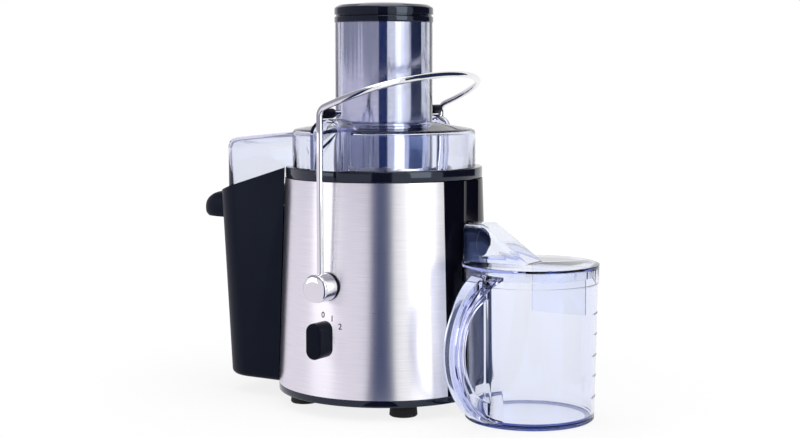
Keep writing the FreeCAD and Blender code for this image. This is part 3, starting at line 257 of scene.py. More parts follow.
@lru_cache(maxsize=None)
def brushing() -> bpy.types.NodeTree:
    """Fine brushed lines that run round the drive axis.

    Returns:
        The node group.
    """
    broad_share, broad_lines = 0.35, 240.0
    tree, given, leave = new_group(
        "brushing", {"Lines": 1500.0, "Length": 3.0}, ("Streak", "Broad", "Height")
    )
    shift = tree.add("ShaderNodeVectorMath", operation="SUBTRACT")
    tree.feed(shift.inputs[0], tree.add("ShaderNodeTexCoord").outputs["Object"])
    tree.feed(shift.inputs[1], DRIVE)
    spot = tree.add("ShaderNodeSeparateXYZ")
    tree.put(spot, Vector=shift.outputs[0])
    turn, height = tree.sum("ARCTAN2", spot.outputs["Y"], spot.outputs["X"]), spot.outputs["Z"]
    unrolled = tree.add("ShaderNodeCombineXYZ")
    around = tree.sum("MULTIPLY", turn, given["Length"])
    tree.put(unrolled, X=around, Y=tree.sum("MULTIPLY", height, given["Lines"]))
    broad = tree.add("ShaderNodeCombineXYZ")
    wide = tree.sum("MULTIPLY", around, broad_share)
    tree.put(broad, X=wide, Y=tree.sum("MULTIPLY", height, broad_lines))
    streak = tree.noise(unrolled.outputs[0], scale=1.0, detail=3.0, flat=True)
    patches = tree.noise(broad.outputs[0], scale=1.0, detail=2.0, flat=True)
    leave(Streak=streak, Broad=patches, Height=streak)
    return tree.tree


# Finishes


def start_material(name: str) -> tuple[bpy.types.Material, Tree, bpy.types.Node]:
    """A new material with its shader.

    Args:
        name: the material's name.

    Returns:
        The material, its tree and its shader node.
    """
    material = bpy.data.materials.new(name)
    material.use_nodes = True
    tree = Tree(material.node_tree)
    return material, tree, material.node_tree.nodes["Principled BSDF"]


@dataclass(frozen=True)
class MouldedPlastic:
    """An injection-moulded plastic or rubber skin."""

    name: str
    colour: Colour
    gloss: float
    spread: float
    cells: float = 900.0
    relief: float = 0.05
    shine: float = 0.5
    glint: Colour = (1.0, 1.0, 1.0)
    worn: float = 1.35
    worn_floor: float = 0.002
    bump: float = 0.5

    def material(self) -> bpy.types.Material:
        """Build the finish.

        Returns:
            The material.
        """
        material, tree, skin = start_material(self.name)
        grain = tree.add("ShaderNodeGroup", node_tree=moulded_grain())
        tree.put(grain, Cells=self.cells, Gloss=self.gloss, Spread=self.spread)
        light = tuple(min(1.0, self.worn * part + self.worn_floor) for part in self.colour)
        colour = tree.blend(grain.outputs["Tone"], (*self.colour, 1.0), (*light, 1.0))
        bump = tree.add("ShaderNodeBump")
        tree.put(bump, Strength=self.bump, Distance=self.relief * MM, Height=grain.outputs["Height"])
        tree.put(skin, Base_Color=colour, Roughness=grain.outputs["Roughness"], Normal=bump.outputs["Normal"])
        tree.put(skin, Specular_IOR_Level=self.shine, Specular_Tint=(*self.glint, 1.0))
        return material


@dataclass(frozen=True)
class BrushedMetal:
    """Sheet metal brushed round the drive axis."""

    name: str
    colour: Colour
    dark: Colour
    gloss: float
    lines: float = 1500.0
    broad: float = 0.22
    duller: float = 0.08
    shinier: float = 0.06
    bump: float = 0.45
    relief: float = 0.02
    stretch: float = 0.75
    grain_turn: float = 0.25

    def material(self) -> bpy.types.Material:
        """Build the finish.

        Returns:
            The material.
        """
        material, tree, skin = start_material(self.name)
        lines = tree.add("ShaderNodeGroup", node_tree=brushing())
        tree.put(lines, Lines=self.lines)
        share = tree.between(lines.outputs["Streak"], 0.0, 1.0)
        colour = tree.blend(share, (*self.dark, 1.0), (*self.colour, 1.0))
        broad = tree.between(lines.outputs["Broad"], 0.0, self.broad)
        colour = tree.blend(broad, colour, (*self.dark, 1.0))
        rough = tree.between(lines.outputs["Streak"], self.gloss + self.duller, self.gloss - self.shinier)
        bump = tree.add("ShaderNodeBump")
        tree.put(bump, Strength=self.bump, Distance=self.relief * MM, Height=lines.outputs["Height"])
        tangent = tree.add("ShaderNodeTangent", direction_type="RADIAL", axis="Z")
        tree.put(skin, Base_Color=colour, Roughness=rough, Metallic=1.0, Normal=bump.outputs["Normal"])
        tree.put(skin, Anisotropic=self.stretch, Anisotropic_Rotation=self.grain_turn)
        tree.put(skin, Tangent=tangent.outputs[0])
        return material


@dataclass(frozen=True)
class PlatedMetal:
    """Polished or machined bare metal."""

    name: str
    colour: Colour
    gloss: float
    spread: float
    cells: float = 500.0
    shade: float = 0.86

    def material(self) -> bpy.types.Material:
        """Build the finish.

        Returns:
            The material.
        """
        material, tree, skin = start_material(self.name)
        grain = tree.add("ShaderNodeGroup", node_tree=moulded_grain())
        tree.put(grain, Cells=self.cells, Gloss=self.gloss, Spread=self.spread)
        dark = tuple(self.shade * part for part in self.colour)
        colour = tree.blend(grain.outputs["Tone"], (*self.colour, 1.0), (*dark, 1.0))
        tree.put(skin, Base_Color=colour, Roughness=grain.outputs["Roughness"], Metallic=1.0)
        return material


@dataclass(frozen=True)
class ClearPlastic:
    """Clear moulded plastic that is bluer the more of it the light goes through."""

    name: str
    face: Colour
    tint: Colour
    depth: float
    gloss: float
    glint: Colour = (0.30, 0.45, 1.0)
    cells: float = 60.0
    bump: float = 0.12
    relief: float = 0.05
    bend: float = 1.42

    def material(self) -> bpy.types.Material:
        """Build the finish.

        Returns:
            The material.
        """
        material, tree, skin = start_material(self.name)
        grain = tree.add("ShaderNodeGroup", node_tree=moulded_grain())
        tree.put(grain, Cells=self.cells, Gloss=self.gloss, Spread=self.gloss)
        bump = tree.add("ShaderNodeBump")
        tree.put(bump, Strength=self.bump, Distance=self.relief * MM, Height=grain.outputs["Tone"])
        tree.put(skin, Base_Color=(*self.face, 1.0), Roughness=grain.outputs["Roughness"])
        tree.put(skin, Transmission_Weight=1.0, IOR=self.bend, Normal=bump.outputs["Normal"])
        tree.put(skin, Specular_Tint=(*self.glint, 1.0))
        depth = tree.add("ShaderNodeVolumeAbsorption")
        tree.put(depth, Color=(*self.tint, 1.0), Density=self.depth)
        tree.reach_out(depth.outputs["Volume"], "Volume")
        return material


class Finish(Enum):
    """The finishes of the machine's pieces."""

    STEEL = BrushedMetal("brushed_steel_sheet", (0.93, 0.92, 0.94), dark=(0.74, 0.73, 0.78), gloss=0.30)
    SLEEVE = BrushedMetal(
        "brushed_steel_sleeve", (0.80, 0.80, 0.84), dark=(0.62, 0.62, 0.68), gloss=0.14, lines=900.0
    )
    MESH = PlatedMetal("pierced_steel", (0.62, 0.62, 0.64), gloss=0.28, spread=0.15)
    CHROME = PlatedMetal("polished_chrome", (0.86, 0.86, 0.88), gloss=0.05, spread=0.04)
    SHAFT = PlatedMetal("ground_steel", (0.55, 0.55, 0.56), gloss=0.3, spread=0.15)
    SCREW = PlatedMetal("zinc_screw", (0.5, 0.5, 0.51), gloss=0.38, spread=0.2)
    CAST = PlatedMetal("cast_bracket", (0.6, 0.6, 0.61), gloss=0.5, spread=0.2)
    COPPER = PlatedMetal("copper_winding", (0.72, 0.34, 0.16), gloss=0.35, spread=0.25)
    PANEL = MouldedPlastic(
        "panel_black", (0.002, 0.002, 0.006), gloss=0.07, spread=0.04, cells=300.0, relief=0.02,
        shine=0.05, glint=BLUISH,
    )
    GLOSS = MouldedPlastic(
        "gloss_black", (0.004, 0.004, 0.009), gloss=0.08, spread=0.05, cells=300.0, relief=0.02,
        shine=0.60, glint=BLUISH,
    )
    SATIN = MouldedPlastic(
        "satin_black", (0.004, 0.005, 0.011), gloss=0.34, spread=0.12, cells=1100.0, relief=0.06,
        shine=0.06, glint=BLUISH,
    )
    BIN = MouldedPlastic(
        "satin_bin", (0.004, 0.006, 0.013), gloss=0.40, spread=0.12, cells=1000.0, relief=0.05,
        shine=0.08, glint=BLUISH,
    )
    RUBBER = MouldedPlastic(
        "black_rubber", (0.009, 0.009, 0.010), gloss=0.7, spread=0.15, cells=700.0, relief=0.1, shine=0.3
    )
    LAMINATE = MouldedPlastic("varnished_stack", (0.12, 0.12, 0.13), gloss=0.45, spread=0.2)
    WHITE = MouldedPlastic("insulating_plastic", (0.72, 0.71, 0.67), gloss=0.45, spread=0.15)
    # Painted shade: the measuring marks are clear raised lines, given an opaque bluish grey that stands in
    # for how light bent in them makes them look dark.
    PAINTED_SHADE_MARK = MouldedPlastic("mark_painted_shade", (0.20, 0.21, 0.36), gloss=0.4, spread=0.1)
    PRINT = MouldedPlastic("printed_ink", (0.015, 0.015, 0.025), gloss=0.5, spread=0.1)
    CLEAR = ClearPlastic(
        "clear_plastic", (0.926, 0.943, 0.987), tint=(0.08, 0.18, 0.90), depth=18.0, gloss=0.02
    )
    # Painted shade: the foot ring's dark blue face colour and denser tint stand in for the dark blue band
    # seen along the jug's thick clear foot.
    PAINTED_SHADE_FOOT = ClearPlastic(
        "clear_foot_painted_shade", (0.10, 0.14, 0.42), tint=(0.20, 0.27, 0.86), depth=30.0, gloss=0.02
    )


@lru_cache(maxsize=None)
def finish_material(finish: Finish) -> bpy.types.Material:
    """The one material of a finish."""
    return finish.value.material()


def dress(thing: bpy.types.Object, finish: Finish) -> bpy.types.Object:
    """Give an object one finish.

    Args:
        thing: a piece or a carried-over node.
        finish: its finish.

    Returns:
        The same object.
    """
    material = finish_material(finish)
    if not thing.data.materials:
        thing.data.materials.append(material)
    for slot in thing.material_slots:
        slot.material = material
    return thing


def dress_nodes(finish: Finish, *names: str) -> None:
    """Give carried-over nodes one finish.

    Args:
        finish: the finish.
        names: the nodes.
    """
    for name in names:
        dress(frame["nodes"][name], finish)
        log.info("%s keeps its solid and gets %s", name, finish.value.name)


# Shapes


def slant(spot: float, near: Point, far: Point) -> float:
    """The value at a spot, on the straight line through two spots with their values."""
    return near[1] + (spot - near[0]) / (far[0] - near[0]) * (far[1] - near[1])


def ramp(value: float, start: float, stop: float) -> float:
    """How far a value has come on its way from start to stop, as a share, and 0 before the start."""
    return max(0.0, (value - start) / (stop - start))


def new_object(name: str, data: bpy.types.ID) -> bpy.types.Object:
    """Put a new object into the scene.

    Args:
        name: its name.
        data: its mesh, lamp, camera or text.

    Returns:
        The object.
    """
    thing = bpy.data.objects.new(name, data)
    bpy.context.scene.collection.objects.link(thing)
    return thing


def eased(corners: Sequence[Corner], steps: int = 5) -> list[Point]:
    """A closed outline with each corner rounded.

    Args:
        corners: across, up and the corner's radius, in mm.
        steps: points per rounding, less one.

    Returns:
        The outline's points.
    """
    points: list[Point] = []
    most = 0.48
    for index, (across, up, radius) in enumerate(corners):
        here = Vector((across, up))
        before = Vector(corners[index - 1][:2]) - here
        after = Vector(corners[(index + 1) % len(corners)][:2]) - here
        if radius <= 0:
            points.append((across, up))
            continue
        reach = radius / math.tan(before.angle(after) / 2)
        reach = min(reach, most * before.length, most * after.length)
        first, last = here + before.normalized() * reach, here + after.normalized() * reach
        for step in range(steps + 1):
            share = step / steps
            bend = first * (1 - share) ** 2 + here * (2 * share * (1 - share)) + last * share**2
            points.append((bend.x, bend.y))
    return points


def shape(name: str, corners: Sequence[Sequence[float]], faces: Sequence[Sequence[int]]) -> bpy.types.Object:
    """A closed mesh.

    Args:
        name: the piece's name.
        corners: its corners, in mm.
        faces: corner numbers of each face.

    Returns:
        The new object.
    """
    mesh = bpy.data.meshes.new(name)
    mesh.from_pydata([Vector(corner) * MM + DRIVE for corner in corners], [], faces)
    soup = bmesh.new()
    soup.from_mesh(mesh)
    bmesh.ops.remove_doubles(soup, verts=soup.verts, dist=WELD)
    bmesh.ops.recalc_face_normals(soup, faces=soup.faces)
    soup.to_mesh(mesh)
    soup.free()
    return new_object(name, mesh)


def loft(name: str, rings: Sequence[Sequence[Sequence[float]]], closed: bool = False) -> bpy.types.Object:
    """A skin over a row of like rings.

    Args:
        name: the piece's name.
        rings: the rings, each a loop of places in mm.
        closed: whether the last ring meets the first. If not, both ends are capped.

    Returns:
        The new object.
    """
    count, size = len(rings), len(rings[0])
    corners = [corner for ring in rings for corner in ring]
    faces: list[Sequence[int]] = []
    for ring in range(count if closed else count - 1):
        here, there = ring * size, (ring + 1) % count * size
        for index in range(size):
            after = (index + 1) % size
            faces.append((here + index, here + after, there + after, there + index))
    if not closed:
        faces += [tuple(range(size)), tuple(range((count - 1) * size, count * size))]
    return shape(name, corners, faces)


def lathe(
    name: str, outline: Sequence[Point], centre: Point = (0.0, 0.0), steps: int = 160
) -> bpy.types.Object:
    """A turned solid on an upright axis.

    Args:
        name: the piece's name.
        outline: radius and height of its closed outline, in mm.
        centre: where the axis stands, in mm.
        steps: sides of the turned solid.

    Returns:
        The new object.
    """
    rings = []
    for step in range(steps):
        turn = 2 * math.pi * step / steps
        wide, deep = math.cos(turn), math.sin(turn)
        rings.append([(centre[0] + radius * wide, centre[1] + radius * deep, up) for radius, up in outline])
    return loft(name, rings, closed=True)


def settle(piece: bpy.types.Object) -> bpy.types.Object:
    """Turn a piece's modifiers into plain mesh.

    Args:
        piece: the piece.

    Returns:
        The same piece.
    """
    graph = bpy.context.evaluated_depsgraph_get()
    mesh = bpy.data.meshes.new_from_object(piece.evaluated_get(graph))
    piece.modifiers.clear()
    piece.data = mesh
    return piece


def combine(kind: str, piece: bpy.types.Object, *others: bpy.types.Object) -> bpy.types.Object:
    """Add other solids to a piece or take them out of it.

    Args:
        kind: UNION or DIFFERENCE.
        piece: the solid that stays.
        others: solids that are used up.

    Returns:
        The changed piece.
    """
    for other in others:
        tool = piece.modifiers.new("solid", "BOOLEAN")
        tool.operation, tool.solver, tool.object = kind, "EXACT", other
    settle(piece)
    for other in others:
        bpy.data.objects.remove(other)
    return piece


def smooth(piece: bpy.types.Object, angle: float = 32.0) -> bpy.types.Object:
    """Shade a piece smoothly, with its sharp edges kept.

    Args:
        piece: the piece.
        angle: the least angle of an edge that stays sharp, in degrees.

    Returns:
        The same piece.
    """
    piece.data.shade_smooth()
    piece.data.set_sharp_from_angle(angle=math.radians(angle))
    return piece


def soften(piece: bpy.types.Object, width: float, steps: int = 3) -> bpy.types.Object:
    """Round a piece's sharp edges.

    Args:
        piece: the piece.
        width: the rounding, in mm.
        steps: faces across the rounding.

    Returns:
        The same piece.
    """
    sharp, crease = 38.0, 40.0
    tool = piece.modifiers.new("round", "BEVEL")
    tool.width, tool.segments = width * MM, steps
    tool.limit_method, tool.angle_limit = "ANGLE", math.radians(sharp)
    tool.miter_outer = "MITER_ARC"
    return smooth(settle(piece), crease)


def place(
    piece: bpy.types.Object, body: str, finish: Finish, *nodes: str, slot: str = ""
) -> bpy.types.Object:
    """Dress a piece, hang it on its body and hide the solids that it stands for.

    Args:
        piece: the piece.
        body: the body that it moves with.
        finish: its finish.
        nodes: the solids that it replaces.
        slot: the record's material slot of a piece that replaces none. Not used.

    Returns:
        The same piece.
    """
    dress(piece, finish)
    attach(piece, body)
    if nodes:
        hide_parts(*nodes)
    log.info("%s rides on %s", piece.name, body)
    return piece


def rounded_copy(node: str, body: str, finish: Finish, width: float) -> bpy.types.Object:
    """A moulded piece: the solid's shape with its edges rounded.

    Args:
        node: the solid.
        body: the body that it moves with.
        finish: its finish.
        width: the rounding, in mm.

    Returns:
        The new piece.
    """
    mesh = frame["nodes"][node].data.copy()
    mesh.materials.clear()
    if "custom_normal" in mesh.attributes:
        mesh.attributes.remove(mesh.attributes["custom_normal"])
    flat = math.radians(0.5)
    soup = bmesh.new()
    soup.from_mesh(mesh)
    bmesh.ops.remove_doubles(soup, verts=soup.verts, dist=WELD)
    bmesh.ops.dissolve_limit(
        soup, angle_limit=flat, verts=soup.verts, edges=soup.edges, use_dissolve_boundaries=False
    )
    soup.to_mesh(mesh)
    soup.free()
    piece = new_object(f"{node}_moulded", mesh)
    return place(soften(piece, width), body, finish, node)


# Studio


@dataclass
class Studio:
    """The floor, the soft lamps, the cards that the metal mirrors, and the camera, in metres."""

    azimuth: float = 32.0
    distance: float = 1.437
    height: float = 0.313
    lens: float = 68.0
    sensor: float = 36.0
    picture_wide: float = 800.0
    picture_tall: float = 438.0
    axis_pixel: float = 384.0
    horizon_pixel: float = 72.0
    clip: Point = (0.05, 50.0)
    shadow_depth: float = 0.20
    shadow_span: Point = (0.25, 0.75)
    floor_half: float = 40.0
    floor_drop: float = 0.0005
    floor_colour: Colour = (0.90, 0.90, 0.91)
    floor_rough: float = 0.7
    floor_glow: float = 1.04
    sky: Colour = (0.95, 0.96, 1.0)
    sky_light: float = 0.45
    aim_height: float = 0.18
    overhead_height: float = 1.8
    card_out: float = 2.4
    card_top: float = 2.4
    card_lift: float = 0.001
    near_card: float = 0.13
    far_card: float = 1.9
    flag_out: float = 0.32
    flag_top: float = 1.4
    left_flag_low: float = 0.25
    right_flag_low: float = 0.19

    def build(self) -> None:
        """Make the floor, lamps, cards, world and camera."""
        bpy.context.scene.view_settings.view_transform = "Standard"
        self.make_world()
        self.make_floor()
        self.make_lamps()
        self.make_cards()
        self.make_camera()

    def around(self, turn: float, distance: float, height: float) -> Vector:
        """A place round the machine.

        Args:
            turn: degrees to the right of the camera.
            distance: metres from the axis.
            height: metres above the table.

        Returns:
            The place.
        """
        angle = math.radians(self.azimuth + turn)
        return DRIVE + Vector((math.sin(angle) * distance, -math.cos(angle) * distance, height))

    def backdrop_nodes(
        self, tree: Tree, shader: bpy.types.NodeSocket, white: bpy.types.NodeSocket
    ) -> bpy.types.NodeSocket:
        """White where the camera, a mirror or clear plastic looks, and the plain shader elsewhere.

        Args:
            tree: the tree to build in.
            shader: the plain shader.
            white: the white emission.

        Returns:
            The mixed shader's socket.
        """
        path = tree.add("ShaderNodeLightPath")
        seen = tree.sum("MAXIMUM", path.outputs["Is Camera Ray"], path.outputs["Is Glossy Ray"])
        seen = tree.sum("MAXIMUM", seen, path.outputs["Is Transmission Ray"])
        return tree.mix(seen, shader, white)

    def make_world(self) -> None:
        """Even soft light from all round, with a white background."""
        world = bpy.data.worlds.new("studio")
        bpy.context.scene.world = world
        world.use_nodes = True
        tree = Tree(world.node_tree)
        soft = world.node_tree.nodes["Background"]
        tree.put(soft, Color=(*self.sky, 1.0), Strength=self.sky_light)
        white = tree.add("ShaderNodeBackground")
        tree.put(white, Color=(1.0, 1.0, 1.0, 1.0), Strength=1.0)
        tree.reach_out(self.backdrop_nodes(tree, soft.outputs[0], white.outputs[0]))

    def make_floor(self) -> None:
        """A pale floor that keeps the shadow."""
        half = self.floor_half
        corners = [(-half, -half, 0), (half, -half, 0), (half, half, 0), (-half, half, 0)]
        mesh = bpy.data.meshes.new("floor")
        mesh.from_pydata(corners, [], [(0, 1, 2, 3)])
        floor = new_object("floor", mesh)
        floor.location.z = -self.floor_drop
        material, tree, skin = start_material("pale_floor")
        tree.put(skin, Base_Color=(*self.floor_colour, 1.0), Roughness=self.floor_rough)
        tree.put(skin, Specular_IOR_Level=0.0)
        glow = tree.add("ShaderNodeEmission")
        tree.put(glow, Color=(1.0, 1.0, 1.0, 1.0), Strength=self.floor_glow)
        reach = tree.add("ShaderNodeVectorMath", operation="LENGTH")
        tree.feed(reach.inputs[0], tree.add("ShaderNodeTexCoord").outputs["Object"])
        fade = tree.add("ShaderNodeMapRange", clamp=True)
        near, far = self.shadow_span
        tree.put(fade, Value=reach.outputs["Value"], From_Min=near, From_Max=far)
        tree.put(fade, To_Min=self.shadow_depth, To_Max=0.0)
        lit = tree.mix(fade.outputs["Result"], glow.outputs[0], skin.outputs[0])
        tree.reach_out(self.backdrop_nodes(tree, skin.outputs[0], lit))
        mesh.materials.append(material)

    def make_lamp(self, name: str, at: Vector, aim: Vector, side: Point, power: float) -> None:
        """One soft rectangular lamp.

        Args:
            name: its name.
            at: its place.
            aim: what it points at.
            side: its width and height.
            power: watts.
        """
        data = bpy.data.lights.new(name, "AREA")
        data.shape = "RECTANGLE"
        data.size, data.size_y = side
        data.energy = power
        lamp = new_object(name, data)
        lamp.location = at
        lamp.rotation_euler = (aim - at).to_track_quat("-Z", "Y").to_euler()

    def make_lamps(self) -> None:
        """A large overhead lamp and softer side lamps."""
        middle = Vector((0, 0, self.aim_height))
        above = Vector((0, 0, self.overhead_height))
        self.make_lamp("overhead", at=above, aim=middle, side=(2.0, 2.0), power=16.0)
        right = self.around(turn=42, distance=1.7, height=0.7)
        self.make_lamp("right", at=right, aim=middle, side=(0.8, 1.4), power=9.0)
        left = self.around(turn=-70, distance=1.8, height=0.8)
        self.make_lamp("left", at=left, aim=middle, side=(1.0, 1.4), power=7.0)

    def make_card(self, name: str, span: Point, edge: Sequence[Point], colour: Colour) -> None:
        """A curved card that only mirrors see.

        Args:
            name: its name.
            span: where it starts and stops, in degrees to the right of the camera.
            edge: its outline as distance from the axis and height, in metres.
            colour: what the mirrors see.
        """
        steps = 16
        turns = [span[0] + (span[1] - span[0]) * index / steps for index in range(steps + 1)]
        corners = [self.around(turn, reach, level) for turn in turns for reach, level in edge]
        size = len(edge)
        faces = []
        for step in range(steps):
            for row in range(size - 1):
                first = step * size + row
                faces.append((first, first + size, first + size + 1, first + 1))
        mesh = bpy.data.meshes.new(name)
        mesh.from_pydata(corners, [], faces)
        card = new_object(name, mesh)
        material, tree, _ = start_material(name)
        glow = tree.add("ShaderNodeEmission")
        tree.put(glow, Color=(*colour, 1.0), Strength=1.0)
        mirrored = tree.sum("GREATER_THAN", tree.add("ShaderNodeLightPath").outputs["Glossy Depth"], 0.5)
        clear = tree.add("ShaderNodeBsdfTransparent")
        tree.reach_out(tree.mix(mirrored, clear.outputs[0], glow.outputs[0]))
        mesh.materials.append(material)
        card.visible_camera = False
        card.visible_diffuse = False
        card.visible_shadow = False

    def make_cards(self) -> None:
        """Dark and grey cards round the machine, for the bands in the metal."""
        wall = [(self.card_out, self.card_lift), (self.card_out, self.card_top)]
        near = [(self.near_card, self.card_lift), *wall]
        far = [(self.far_card, self.card_lift), *wall]
        left_flag = [(self.flag_out, self.left_flag_low), (self.flag_out, self.flag_top)]
        right_flag = [(self.flag_out, self.right_flag_low), (self.flag_out, self.flag_top)]
        self.make_card("dark_card", (-14.0, 9.0), near, (0.018, 0.035, 0.125))
        self.make_card("left_card", (-165.0, -14.0), near, (0.86, 0.82, 0.90))
        self.make_card("right_card", (70.0, 130.0), far, (0.02, 0.03, 0.08))
        self.make_card("left_flag", (-130.0, -14.0), left_flag, (0.36, 0.36, 0.42))
        self.make_card("right_flag", (72.0, 116.0), right_flag, (0.02, 0.03, 0.07))

    def make_camera(self) -> None:
        """The camera at the photograph's angle."""
        data = bpy.data.cameras.new("camera")
        data.lens, data.sensor_width = self.lens, self.sensor
        data.clip_start, data.clip_end = self.clip
        camera = new_object("camera", data)
        camera.location = self.around(0.0, self.distance, self.height)
        focal = self.lens / self.sensor * self.picture_wide
        yaw = math.atan((self.picture_wide / 2 - self.axis_pixel) / focal)
        tilt = math.atan((self.picture_tall / 2 - self.horizon_pixel) / focal)
        camera.rotation_euler = (math.pi / 2 - tilt, 0.0, math.radians(self.azimuth) - yaw)
        bpy.context.scene.camera = camera


# Sub-assemblies, with sizes in mm from the drive axis and the table


@dataclass
class Lid:
    """The clear lid, its pulp hood and the feed chute, made as one moulding."""

    low: float = 224.5
    shoulder: float = 259.5
    crown: float = 266.0
    edge_r: float = 87.0
    wall: float = 2.6
    chute_r: float = 46.0
    bore_r: float = 42.5
    chute_low: float = 185.4
    chute_top: float = 359.0
    hood_half: float = 51.0
    hood_end: float = 157.0
    hood_round: float = 24.0
    housing_r: float = 94.6
    lug_half: float = 17.5
    lug_reach: float = 99.0
    lug_top: float = 271.2
    lug_drop: float = 13.0
    lug_lift: float = 0.1
    lug_back: float = 12.0
    lug_ends: tuple[Point, ...] = ((2.0, 0.0), (0.6, 0.6), (0.0, 2.0))
    lug_draft: float = 40.0
    rim_near: Point = (-94.0, 217.0)
    rim_far: Point = (-167.0, 195.0)
    roof_near: Point = (-46.0, 260.0)
    roof_far: Point = (-157.0, 248.5)
    roof_edge: tuple[Point, ...] = ((0.0, 8.0), (1.1, 3.5), (3.5, 1.1), (8.0, 0.0))
    hood_sink: float = 3.0
    way_sink: float = 38.0
    cover_round: float = 6.0
    clearance_low: float = 150.0
    seam: float = 0.05
    hollow_below: float = 20.0
    pocket_below: float = 15.0
    bore_past: float = 9.0

    def build(self) -> None:
        """Make the lid and dress the collar."""
        body, under = self.hood("hood", 0.0), self.low - self.seam
        combine("DIFFERENCE", body, self.drum("clearance", self.housing_r, self.clearance_low, under))
        cover = self.cover("lid_clear", 0.0, self.low)
        combine("UNION", cover, body, self.lug("lug", -1, 0.0), self.lug("lug", 1, 0.0))
        hollows = [self.cover("hollow", self.wall, self.low - self.hollow_below), self.hood("way", self.wall)]
        hollows += [self.lug("pocket", side, self.wall) for side in (-1, 1)]
        combine("DIFFERENCE", cover, *hollows)
        combine("UNION", cover, self.drum("chute", self.chute_r, self.chute_low, self.chute_top))
        past = self.bore_past
        bore = self.drum("bore", self.bore_r, self.chute_low - past, self.chute_top + past)
        combine("DIFFERENCE", cover, bore)
        soften(cover, width=0.5, steps=2)
        place(cover, "base", Finish.CLEAR, "lid", "pulp_hood", "feed_chute")
        rounded_copy("chute_collar", "base", Finish.GLOSS, width=1.2)

    def drum(self, name: str, radius: float, low: float, high: float) -> bpy.types.Object:
        """An upright cylinder on the drive axis, between two heights."""
        return lathe(name, [(0.0, low), (radius, low), (radius, high), (0.0, high)])

    def cover(self, name: str, inset: float, low: float) -> bpy.types.Object:
        """The round cover's outside, or its hollow.

        Args:
            name: its name.
            inset: how far inside the outside it is.
            low: its lower end.

        Returns:
            The solid.
        """
        edge, soft = self.edge_r - inset, self.cover_round - inset
        corners = [
            (0.0, low, 0.0),
            (edge, low, 0.0),
            (edge, self.shoulder - inset, soft),
            (self.chute_r, self.crown - inset, 0.0),
            (0.0, self.crown - inset, 0.0),
        ]
        return lathe(name, eased(corners))

    def hood_plan(self, inset: float) -> list[Point]:
        """The hood's outline from above.

        Args:
            inset: how far inside the outside it is.

        Returns:
            The outline's points.
        """
        start, half, end = self.chute_r, self.hood_half - inset, self.hood_end - inset
        soft = self.hood_round - inset
        corners = [(-start, -half, 0.0), (-start, half, 0.0), (-end, half, soft), (-end, -half, soft)]
        return eased(corners, steps=9)

    def hood(self, name: str, inset: float) -> bpy.types.Object:
        """The pulp hood's outside, or the way through it, from the bin's slanting rim to the roof.

        Args:
            name: its name.
            inset: how far inside the outside it is.

        Returns:
            The solid.
        """
        sink = self.hood_sink if inset == 0.0 else self.way_sink
        plan = self.hood_plan(inset)
        rings = [[(x, y, slant(x, self.rim_near, self.rim_far) - sink) for x, y in plan]]
        for pull, drop in self.roof_edge:
            plan, fall = self.hood_plan(inset + pull), inset + drop
            rings.append([(x, y, slant(x, self.roof_near, self.roof_far) - fall) for x, y in plan])
        return loft(name, rings)

    def lug(self, name: str, side: int, inset: float) -> bpy.types.Object:
        """A lug that the bail's roller clamps, with its round hump.

        Args:
            name: its name.
            side: -1 for the front and 1 for the back.
            inset: how far inside the outside it is.

        Returns:
            The solid.
        """
        half, top = self.lug_half - inset, self.lug_top - inset
        edge = top - self.lug_drop + inset
        low = self.low + self.lug_lift if inset == 0.0 else self.low - self.pocket_below
        outline = [(-half, low), (half, low)]
        steps = 12
        for step in range(steps + 1):
            turn = math.pi * step / steps
            outline.append((half * math.cos(turn), edge + (top - edge) * math.sin(turn)))
        start, stop = self.edge_r - self.lug_back, self.lug_reach - inset
        ends = [(start, 0.0), *((stop - back, pull) for back, pull in self.lug_ends)]
        rings = []
        for reach, pull in ends:
            squeeze, lower = 1 - pull / half, 1 - pull / self.lug_draft
            rings.append([(x * squeeze, side * reach, low + (z - low) * lower) for x, z in outline])
        return loft(name, rings)


@dataclass
class Pusher:
    """The pusher's cap, sleeve and foot."""

    low: float = 365.0
    top: float = 378.0
    edge_r: float = 46.7

    def build(self) -> None:
        """Make the domed cap and dress the sleeve and foot."""
        edge, low, top = self.edge_r, self.low, self.top
        corners = [
            (0.0, low + 0.3, 0.0),
            (edge - 1.4, low + 0.3, 0.0),
            (edge - 1.4, low + 1.5, 0.0),
            (edge, low + 1.6, 0.3),
            (edge, top - 5.0, 2.4),
            (edge - 4.5, top - 2.2, 2.4),
            (edge - 8.0, top - 2.6, 2.0),
            (edge * 0.45, top - 0.3, 9.0),
            (0.0, top, 0.0),
        ]
        place(smooth(lathe("pusher_cap_domed", eased(corners))), "pusher", Finish.GLOSS, "pusher_cap")
        dress_nodes(Finish.SLEEVE, "pusher_sleeve")
        dress_nodes(Finish.SATIN, "pusher_foot")


